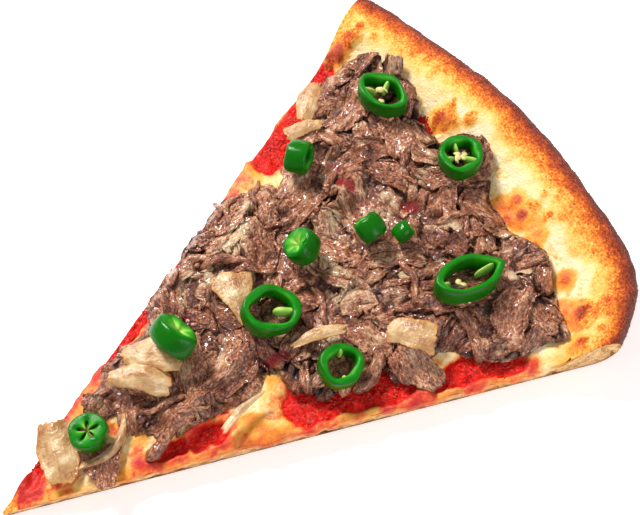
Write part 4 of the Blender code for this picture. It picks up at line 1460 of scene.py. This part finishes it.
def pepper_outline(values, seed):
    """A ring's outline at full size: bearings and points."""
    length, width, pinch = values[0], values[1], values[4]
    bearing = np.linspace(0, math.tau, 72, endpoint=False)
    sine = np.sin(bearing)
    lobe = 1 + 0.025 * np.cos(3 * bearing + 0.6) + 0.02 * np.sin(5 * bearing + seed)
    x = np.cos(bearing) * lobe
    y = np.sign(sine) * np.abs(sine) ** (1 + pinch) * lobe
    return bearing, x * length / 2, y * width / 2


def pepper_loops(values, seed):
    """Loops of a pepper piece from inside its upper face, round its skin and under."""
    height, wall = values[2:4]
    lobes = values[8]
    bearing, x, y = pepper_outline(values, seed)
    size = np.hypot(x, y)
    half = height / 2
    waver = 0.12 * np.sin(2 * bearing + seed) + 0.1 * np.sin(5 * bearing + 2 * seed)
    thick = 1.0 if wall > 3 else 0.0
    inner = wall * (1 + (0.2 + 0.16 * thick) * np.cos(lobes * bearing + seed)) if wall else 0 * bearing
    loops = []
    flesh = []

    def loop(inset, level, pale):
        """Adds a loop some mm in from the outline, at a share of half the height."""
        share = np.clip(1 - inset / size, 0.02, 1.2)
        tall = level * half + waver * np.sign(level) * min(1.0, abs(level))
        loops.append(np.stack([x * share, y * share, tall + 0 * x], -1))
        flesh.append(np.full(len(x), pale))

    if wall:
        lobed = 0.14 * np.cos(lobes * bearing + 1.7 * seed)
        for part, level, pale in ((1.12, 0.0, 0.2), (1.06, 0.6, 0.3), (1.0, 0.88, 0.5), (0.85, 0.99, 0.42)):
            loop(inner * part, level, pale + (1 + thick) * lobed + 0.12 * thick)
        loop(inner * 0.6, 1.03, 0.34 + 1.5 * thick * lobed)
    else:
        star = 1 + 0.34 * np.cos(lobes * bearing + seed)
        for part, level, pale in ((0.97, 0.3, 0.6), (0.84, 0.5, 0.9), (0.66, 0.84, 0.8), (0.46, 0.97, 0.6)):
            loop(size * (1 - (1 - part) * star), level, pale)
        loop(size * 0.26, 1.03, 0.42)
    blunt = 1.0 if wall else 2.2
    for inset, level, pale in (
        (0.5, 1.02, 0.3), (0.24, 0.97, 0.2), (0.08, 0.84, 0.06), (-0.05, 0.5, 0.0), (-0.1, 0.0, 0.0),
        (-0.05, -0.5, 0.0), (0.08, -0.84, 0.06), (0.24, -0.97, 0.2), (0.5, -1.02, 0.3),
    ):
        loop(np.full(len(x), blunt * inset), level, pale)
    if wall:
        loop(inner * 0.8, -1.0, 0.36)
        loop(inner, -0.88, 0.3)
        loop(inner * 1.08, -0.5, 0.2)
    else:
        loop(size * 0.5, -1.0, 0.6)
        loop(size * 0.97, -0.96, 0.8)
    return np.array(loops), np.array(flesh)


def blob_loops(length, width, height, seed):
    """Loops of a smooth uneven lump along X."""
    turns = np.linspace(0.06, math.pi - 0.06, 9)
    bearing = -np.linspace(0, math.tau, 14, endpoint=False)
    loops = []
    for turn in turns:
        swell = 1 + 0.12 * math.sin(3 * turn + seed)
        ring = np.sin(turn) * swell
        y = ring * np.cos(bearing) * width / 2 * (1 + 0.1 * np.sin(2 * bearing + seed))
        z = ring * np.sin(bearing) * height / 2
        loops.append(np.stack([-np.cos(turn) * length / 2 + 0 * y, y, z], -1))
    return np.array(loops)


def make_peppers(settings):
    """The pepper pieces, with ribs inside the rings."""
    finish = pepper_finish(settings)
    for seed, (name, values) in enumerate(PEPPERS.items()):
        shell = Shell()
        middle = node_middle(name)
        matrix = lean_matrix(*values[5:8])
        loops, flesh = pepper_loops(values, seed)
        length, width, height, wall, pinch = values[:5]
        shell.add_loops(loops @ matrix.T + middle, is_ring=bool(wall), flesh=flesh)
        for bearing, reach, thick in RIBS.get(name, ()):
            angle = math.radians(bearing)
            x = length / 2 * math.cos(angle)
            sine = math.sin(angle)
            y = width / 2 * math.copysign(abs(sine) ** (1 + pinch), sine)
            edge = np.array((x, y, 0.0))
            size = np.linalg.norm(edge)
            inner = size - wall
            rib_length = inner * reach + wall * 0.7
            centre = edge / size * (inner + wall * 0.5 - rib_length / 2 + 0.4)
            rib = blob_loops(rib_length, thick, height * 0.8, seed)
            turned = np.array(Matrix.Rotation(math.atan2(y, x), 3, "Z"))
            rib = (rib @ turned.T + centre) @ matrix.T + middle
            shell.add_loops(rib, flesh=np.full(rib.shape[:2], 0.86))
        shell.build("green_" + name, finish, [name])
    make_seeds(settings)


def make_seeds(settings):
    """Flat pale seeds inside the pieces that show them."""
    rng = np.random.default_rng(5)
    shell = Shell()
    size = settings.seed_length / MM
    for name, count in (("pepper_ring_far", 4), ("pepper_ring_rim", 8), ("pepper_ring_large", 2)):
        length, width, height, wall = PEPPERS[name][:4]
        matrix = lean_matrix(*PEPPERS[name][5:8])
        middle = node_middle(name)
        for _ in range(count):
            reach = rng.uniform(0.0, 0.5)
            angle = rng.uniform(0, math.tau)
            x = (length / 2 - wall) * reach * math.cos(angle)
            y = (width / 2 - wall) * reach * math.sin(angle)
            seed = blob_loops(size, size * 0.8, size * 0.35, angle)
            turn = Matrix.Rotation(rng.uniform(0, 6.28), 3, "Z")
            roll = Matrix.Rotation(rng.normal(0, 0.6), 3, "X")
            spin = np.array(turn @ roll)
            z = height * rng.uniform(-0.1, 0.22)
            shell.add_loops((seed @ spin.T + (x, y, z)) @ matrix.T + middle)
    finish = plain_finish("pepper_seed", srgb(206, 190, 110), srgb(240, 230, 176), 0.4)
    shell.build("pepper_seeds", finish)


def petal(values, low, seed):
    """An onion piece's two faces and their values."""
    along, across, length, width, thickness, arch, taper, bow, turn, curl, ruffle, skew = values
    rows, columns = 64, 34
    end = np.linspace(-1, 1, rows)[:, None]
    side = np.linspace(-1, 1, columns)[None, :]
    waver = 1 + 0.17 * rough(2.0 * end + 0 * side, 9.0 * np.sign(side) + 0 * end, 1.0, seed, 4)
    half = width / 2 * (1 - taper * end * end) * (1 + skew * end) / (1 + abs(skew)) * waver
    end_waver = 1 + 0.14 * rough(2.2 * side + 0 * end, 4.0 * np.sign(end) + 0 * side, 1.0, seed + 1)
    x = end * length / 2 * end_waver
    # Corners are drawn in a little
    x = x * np.sqrt(1 - 0.15 * side * side)
    y = side * half * np.sqrt(1 - 0.15 * end * end) + bow * (1 - end * end)
    rise = arch * (1 - side * side) * (1 - 0.5 * end * end)
    rise = rise + ruffle * rough(0.7 * x, y, 5.5, seed + 2, 2) + curl * np.abs(side) ** 3
    rise = rise + 0.05 * rough(0.3 * x, y, 0.9, seed + 3, 2)
    edge = np.maximum(np.abs(end), np.abs(side)) + 0 * x
    plan_x, plan_y = turned(x, y, math.radians(turn), along, across)
    wall = thickness * np.sqrt(np.maximum(0.0, 1 - edge**8))
    top = low + thickness + rise
    upper = np.stack([plan_x, plan_y, top], -1)
    lower = np.stack([plan_x, plan_y, top - wall], -1)
    return upper, lower, np.stack([x + 40 * seed, y], -1), edge


def make_onions(settings):
    """The onion pieces."""
    finish = onion_finish(settings)
    for seed, (name, values) in enumerate(ONIONS.items()):
        shell = Shell()
        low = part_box(name)[0].z / MM
        upper, lower, uv, edge = petal(values, low, 80 + seed)
        shell.add_sheet(upper, lower, fibre=uv, rim=edge)
        shell.build("soft_" + name, finish, [name])


def make_scrap(finish):
    """The loose scrap of steak by the tip."""
    shell = Shell()
    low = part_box("steak_scrap")[0].z / MM
    upper, lower, uv = petal(SCRAP, low, 130)[:3]
    shell.add_sheet(upper, lower, fibre=uv, tone=0.5, hollow=0.0, film=0.0, sauced=0.0)
    shell.build("steak_scrap_piece", finish, ["steak_scrap"])


# --- Loose bits ---

# Surfaces that loose bits lie on: a grid of points, and how thickly they cover it
SURFACES = {}
# Bits for each square millimetre of a surface where they lie thickest
BIT_DENSITY = {"sauce": 0.9, "heap": 0.045, "rim": 0.4}


def scatter_tree(name):
    """Nodes that scatter turned, scaled copies of a bit over a surface."""
    tree = bpy.data.node_groups.new(name, "GeometryNodeTree")
    sockets = {}
    for label, kind in (
        ("Geometry", "NodeSocketGeometry"), ("Bit", "NodeSocketObject"), ("Density", "NodeSocketFloat"),
        ("Smallest", "NodeSocketFloat"), ("Largest", "NodeSocketFloat"), ("Seed", "NodeSocketInt"),
        ("Finish", "NodeSocketMaterial"),
    ):
        sockets[label] = tree.interface.new_socket(label, in_out="INPUT", socket_type=kind).identifier
    tree.interface.new_socket("Geometry", in_out="OUTPUT", socket_type="NodeSocketGeometry")
    add = tree.nodes.new
    link = tree.links.new
    inputs = add("NodeGroupInput").outputs
    points = add("GeometryNodeDistributePointsOnFaces")
    cover = add("GeometryNodeInputNamedAttribute")
    cover.data_type = "FLOAT"
    cover.inputs["Name"].default_value = "cover"
    share = add("ShaderNodeMath")
    share.operation = "MULTIPLY"
    link(inputs["Density"], share.inputs[0])
    link(cover.outputs["Attribute"], share.inputs[1])
    link(inputs["Geometry"], points.inputs["Mesh"])
    link(share.outputs[0], points.inputs["Density"])
    link(inputs["Seed"], points.inputs["Seed"])
    turn = add("FunctionNodeRandomValue")
    turn.data_type = "FLOAT_VECTOR"
    turn.inputs["Max"].default_value = (0.9, 0.9, math.tau)
    link(inputs["Seed"], turn.inputs["Seed"])
    tilt = add("FunctionNodeRotateRotation")
    tilt.rotation_space = "LOCAL"
    euler = add("FunctionNodeEulerToRotation")
    link(turn.outputs["Value"], euler.inputs[0])
    link(points.outputs["Rotation"], tilt.inputs[0])
    link(euler.outputs[0], tilt.inputs[1])
    size = add("FunctionNodeRandomValue")
    size.data_type = "FLOAT"
    for source, target in (("Smallest", "Min"), ("Largest", "Max")):
        socket = next(s for s in size.inputs if s.name == target and s.type == "VALUE")
        link(inputs[source], socket)
    link(inputs["Seed"], size.inputs["Seed"])
    bit = add("GeometryNodeObjectInfo")
    link(inputs["Bit"], bit.inputs["Object"])
    copies = add("GeometryNodeInstanceOnPoints")
    link(points.outputs["Points"], copies.inputs["Points"])
    link(bit.outputs["Geometry"], copies.inputs["Instance"])
    link(tilt.outputs[0], copies.inputs["Rotation"])
    link(next(s for s in size.outputs if s.type == "VALUE"), copies.inputs["Scale"])
    tone = add("FunctionNodeRandomValue")
    tone.data_type = "FLOAT"
    store = add("GeometryNodeStoreNamedAttribute")
    store.data_type = "FLOAT"
    store.domain = "INSTANCE"
    store.inputs["Name"].default_value = "tone"
    link(copies.outputs["Instances"], store.inputs["Geometry"])
    link(next(s for s in tone.outputs if s.type == "VALUE"), store.inputs["Value"])
    realize = add("GeometryNodeRealizeInstances")
    link(store.outputs["Geometry"], realize.inputs["Geometry"])
    paint = add("GeometryNodeSetMaterial")
    link(realize.outputs["Geometry"], paint.inputs["Geometry"])
    link(inputs["Finish"], paint.inputs["Material"])
    link(paint.outputs["Geometry"], add("NodeGroupOutput").inputs["Geometry"])
    return tree, sockets


def bit_object(name, length, width, height, seed):
    """A small lump of twenty faces, to be scattered."""
    turns = np.linspace(0.35, math.pi - 0.35, 4)
    bearing = np.linspace(0, math.tau, 6, endpoint=False)
    loops = []
    for step, turn in enumerate(turns):
        ring = math.sin(turn) * (1 + 0.25 * math.sin(2.3 * step + seed))
        y = ring * np.cos(bearing) * (1 + 0.2 * np.sin(2 * bearing + seed)) * width / 2
        z = ring * np.sin(bearing) * (1 + 0.15 * np.sin(3 * bearing + seed)) * height / 2
        loops.append(np.stack([-math.cos(turn) * length / 2 + 0 * y, y, z], -1))
    points = np.concatenate(loops) * MM
    mesh = bpy.data.meshes.new(name)
    faces = []
    sides = len(bearing)
    for i in range(len(turns) - 1):
        for j in range(sides):
            k = (j + 1) % sides
            faces.append((i * sides + j, i * sides + k, (i + 1) * sides + k, (i + 1) * sides + j))
    faces.append(tuple(range(sides))[::-1])
    faces.append(tuple(range((len(turns) - 1) * sides, len(turns) * sides)))
    mesh.from_pydata([tuple(point) for point in points], [], faces)
    mesh.polygons.foreach_set("use_smooth", [True] * len(mesh.polygons))
    lump = bpy.data.objects.new(name, mesh)
    bpy.context.scene.collection.objects.link(lump)
    return lump


def host_object(name, points, cover):
    """A bare surface over a grid of points, on which bits are scattered."""
    rows, columns = points.shape[:2]
    mesh = bpy.data.meshes.new(name)
    spots = (points.reshape(-1, 3) - (CENTRE_ALONG, CENTRE_ACROSS, 0)) * MM
    quads = grid_quads(np.arange(rows * columns).reshape(rows, columns))
    mesh.from_pydata(spots.tolist(), [], quads.tolist())
    attribute = mesh.attributes.new("cover", "FLOAT", "POINT")
    attribute.data.foreach_set("value", cover.astype(np.float32).reshape(-1))
    host = bpy.data.objects.new(name, mesh)
    bpy.context.scene.collection.objects.link(host)
    return host


def scatter(name, host, bit, density, sizes, seed, finish):
    """Scatters copies of a bit over a host and keeps them as one plain mesh."""
    tree, sockets = scatter_tree("scatter_" + name)
    modifier = host.modifiers.new("scatter", "NODES")
    modifier.node_group = tree
    for label, value in (
        ("Bit", bit), ("Density", density), ("Smallest", sizes[0]), ("Largest", sizes[1]),
        ("Seed", seed), ("Finish", finish),
    ):
        modifier[sockets[label]] = value
    bpy.context.view_layer.update()
    shown = host.evaluated_get(bpy.context.evaluated_depsgraph_get())
    mesh = bpy.data.meshes.new_from_object(shown)
    mesh.name = name
    host.modifiers.remove(modifier)
    piece = bpy.data.objects.new(name, mesh)
    bpy.context.scene.collection.objects.link(piece)
    if not mesh.materials:
        mesh.materials.append(finish)
    for used in (host, bit):
        bpy.data.objects.remove(used, do_unlink=True)
    if not mesh.vertices:
        raise RuntimeError(name + ": nothing was scattered")
    return settle(piece)


def make_bits(crust, layers, steak):
    """Pulp on the open sauce, crumbs on the heap and baked grains on the rim."""
    crumb_finish = plain_finish("steak_crumb", srgb(98, 50, 36), srgb(196, 136, 106), 0.3)
    grain_finish = plain_finish("baked_grain", srgb(96, 34, 18), srgb(190, 88, 34), 0.6)
    pulp_finish = bpy.data.materials["tomato_sauce"]
    for name, surface, size, finish, slot in (
        ("sauce_pulp", "sauce", layers.pulp_size, pulp_finish, "tomato_sauce"),
        ("steak_crumbs", "heap", steak.crumb_size, crumb_finish, "steak"),
        ("rim_grains", "rim", crust.grain_size, grain_finish, "crust"),
    ):
        points, cover = SURFACES[surface]
        host = host_object(name + "_bed", points, cover)
        length = size / MM
        bit = bit_object(name + "_bit", length, length * 0.65, length * 0.45, len(name))
        density = BIT_DENSITY[surface] * 1e6
        scatter(name, host, bit, density, (0.5, 1.4), len(name), finish)


# --- Operators ---


class SLICE_OT_crust(bpy.types.Operator):
    """Make the baked dough with its rim"""

    bl_idname = "slice.crust"
    bl_label = "Crust"

    def execute(self, context):
        make_crust(context.scene.slice_crust)
        return {"FINISHED"}


class SLICE_OT_layers(bpy.types.Operator):
    """Make the tomato sauce and the melted cheese"""

    bl_idname = "slice.layers"
    bl_label = "Sauce and cheese"

    def execute(self, context):
        make_sauce(context.scene.slice_layers)
        make_cheese(context.scene.slice_layers)
        return {"FINISHED"}


class SLICE_OT_steak(bpy.types.Operator):
    """Heap the shaved steak and lay the loose scrap"""

    bl_idname = "slice.steak"
    bl_label = "Steak"

    def execute(self, context):
        finish = make_steak(Ground(), context.scene.slice_steak)
        make_scrap(finish)
        return {"FINISHED"}


class SLICE_OT_peppers(bpy.types.Operator):
    """Make the green pepper pieces and their seeds"""

    bl_idname = "slice.peppers"
    bl_label = "Green pepper"

    def execute(self, context):
        make_peppers(context.scene.slice_vegetables)
        return {"FINISHED"}


class SLICE_OT_onions(bpy.types.Operator):
    """Make the onion pieces"""

    bl_idname = "slice.onions"
    bl_label = "Onion"

    def execute(self, context):
        make_onions(context.scene.slice_vegetables)
        return {"FINISHED"}


class SLICE_OT_bits(bpy.types.Operator):
    """Scatter tomato pulp, steak crumbs and baked grains"""

    bl_idname = "slice.bits"
    bl_label = "Loose bits"

    def execute(self, context):
        scene = context.scene
        make_bits(scene.slice_crust, scene.slice_layers, scene.slice_steak)
        return {"FINISHED"}


class SLICE_OT_stage(bpy.types.Operator):
    """Make the floor, the lights and the camera"""

    bl_idname = "slice.stage"
    bl_label = "Stage"

    def execute(self, context):
        make_stage(context.scene, context.scene.slice_stage)
        return {"FINISHED"}


def add_light(name, place, target, size, power, colour):
    """A square lamp that faces a target."""
    lamp = bpy.data.lights.new(name, "AREA")
    lamp.size = size
    lamp.energy = power
    lamp.color = colour
    light = bpy.data.objects.new(name, lamp)
    light.location = place
    light.rotation_euler = (target - place).to_track_quat("-Z", "Y").to_euler()
    bpy.context.scene.collection.objects.link(light)


def make_stage(scene, settings):
    """A pale floor, soft lights and the camera."""
    half = settings.floor_size / 2
    mesh = bpy.data.meshes.new("floor")
    corners = [(-half, -half, 0), (half, -half, 0), (half, half, 0), (-half, half, 0)]
    mesh.from_pydata(corners, [], [(0, 1, 2, 3)])
    white = (1.0, 1.0, 1.0, 1.0)
    paint = Finish("pale_floor", Roughness=0.9, Emission_Strength=0.42, Emission_Color=white)
    pale = tuple(settings.floor_colour)
    paler = tuple(min(1.0, part + 0.02) for part in pale)
    paint.feed("Base Color", paint.ramp(paint.noise(60.0, 2.0), (0.3, pale), (0.7, paler)))
    mesh.materials.append(paint.material)
    floor = bpy.data.objects.new("floor", mesh)
    scene.collection.objects.link(floor)

    world = bpy.data.worlds.new("studio")
    world.use_nodes = True
    sky = world.node_tree.nodes["Background"].inputs
    sky["Color"].default_value = white
    sky["Strength"].default_value = 0.4
    scene.world = world
    scene.view_settings.view_transform = "Standard"

    azimuth = math.radians(VIEW_AZIMUTH)
    elevation = math.radians(VIEW_ELEVATION)
    right = Vector((math.cos(azimuth), math.sin(azimuth), 0))
    ahead = Vector((-math.sin(azimuth), math.cos(azimuth), 0))
    level = math.cos(elevation)
    back = Vector((math.sin(azimuth) * level, -math.cos(azimuth) * level, math.sin(elevation)))
    for name, (aside, beyond, above, size, power, tint) in LIGHTS.items():
        place = VIEW_TARGET + right * aside + ahead * beyond + Vector((0, 0, above))
        add_light(name, place, VIEW_TARGET, size, power, tint)

    lens = bpy.data.cameras.new("camera")
    lens.lens = VIEW_LENS
    lens.sensor_width = 36.0
    lens.clip_start = 0.01
    camera = bpy.data.objects.new("camera", lens)
    camera.location = VIEW_TARGET + back * VIEW_DISTANCE
    camera.rotation_euler = (-back).to_track_quat("-Z", "Y").to_euler()
    scene.collection.objects.link(camera)
    scene.camera = camera


class SLICE_PT_panel(bpy.types.Panel):
    """Lists the pieces and their settings"""

    bl_idname = "SLICE_PT_panel"
    bl_label = "Pizza slice"
    bl_space_type = "VIEW_3D"
    bl_region_type = "UI"
    bl_category = "Pizza"

    def draw(self, context):
        for name in SETTINGS:
            group = getattr(context.scene, name)
            for prop in group.bl_rna.properties:
                if prop.identifier not in ("rna_type", "name"):
                    self.layout.prop(group, prop.identifier)
        for operator in OPERATORS:
            self.layout.operator(operator.bl_idname)


SETTINGS = {
    "slice_crust": CrustSettings,
    "slice_layers": LayerSettings,
    "slice_steak": SteakSettings,
    "slice_vegetables": VegetableSettings,
    "slice_stage": StageSettings,
}
OPERATORS = (
    SLICE_OT_crust,
    SLICE_OT_layers,
    SLICE_OT_steak,
    SLICE_OT_peppers,
    SLICE_OT_onions,
    SLICE_OT_bits,
    SLICE_OT_stage,
)


def register():
    """Adds the settings, operators and panel to Blender."""
    for name, group in SETTINGS.items():
        bpy.utils.register_class(group)
        setattr(bpy.types.Scene, name, PointerProperty(type=group))
    for operator in OPERATORS:
        bpy.utils.register_class(operator)
    bpy.utils.register_class(SLICE_PT_panel)


def unregister():
    """Takes them away again."""
    bpy.utils.unregister_class(SLICE_PT_panel)
    for operator in reversed(OPERATORS):
        bpy.utils.unregister_class(operator)
    for name, group in SETTINGS.items():
        delattr(bpy.types.Scene, name)
        bpy.utils.unregister_class(group)


def main():
    """Makes every piece in order."""
    register()
    bpy.ops.slice.crust()
    bpy.ops.slice.layers()
    bpy.ops.slice.steak()
    bpy.ops.slice.peppers()
    bpy.ops.slice.onions()
    bpy.ops.slice.bits()
    bpy.ops.slice.stage()


if __name__ == "__main__":
    main()
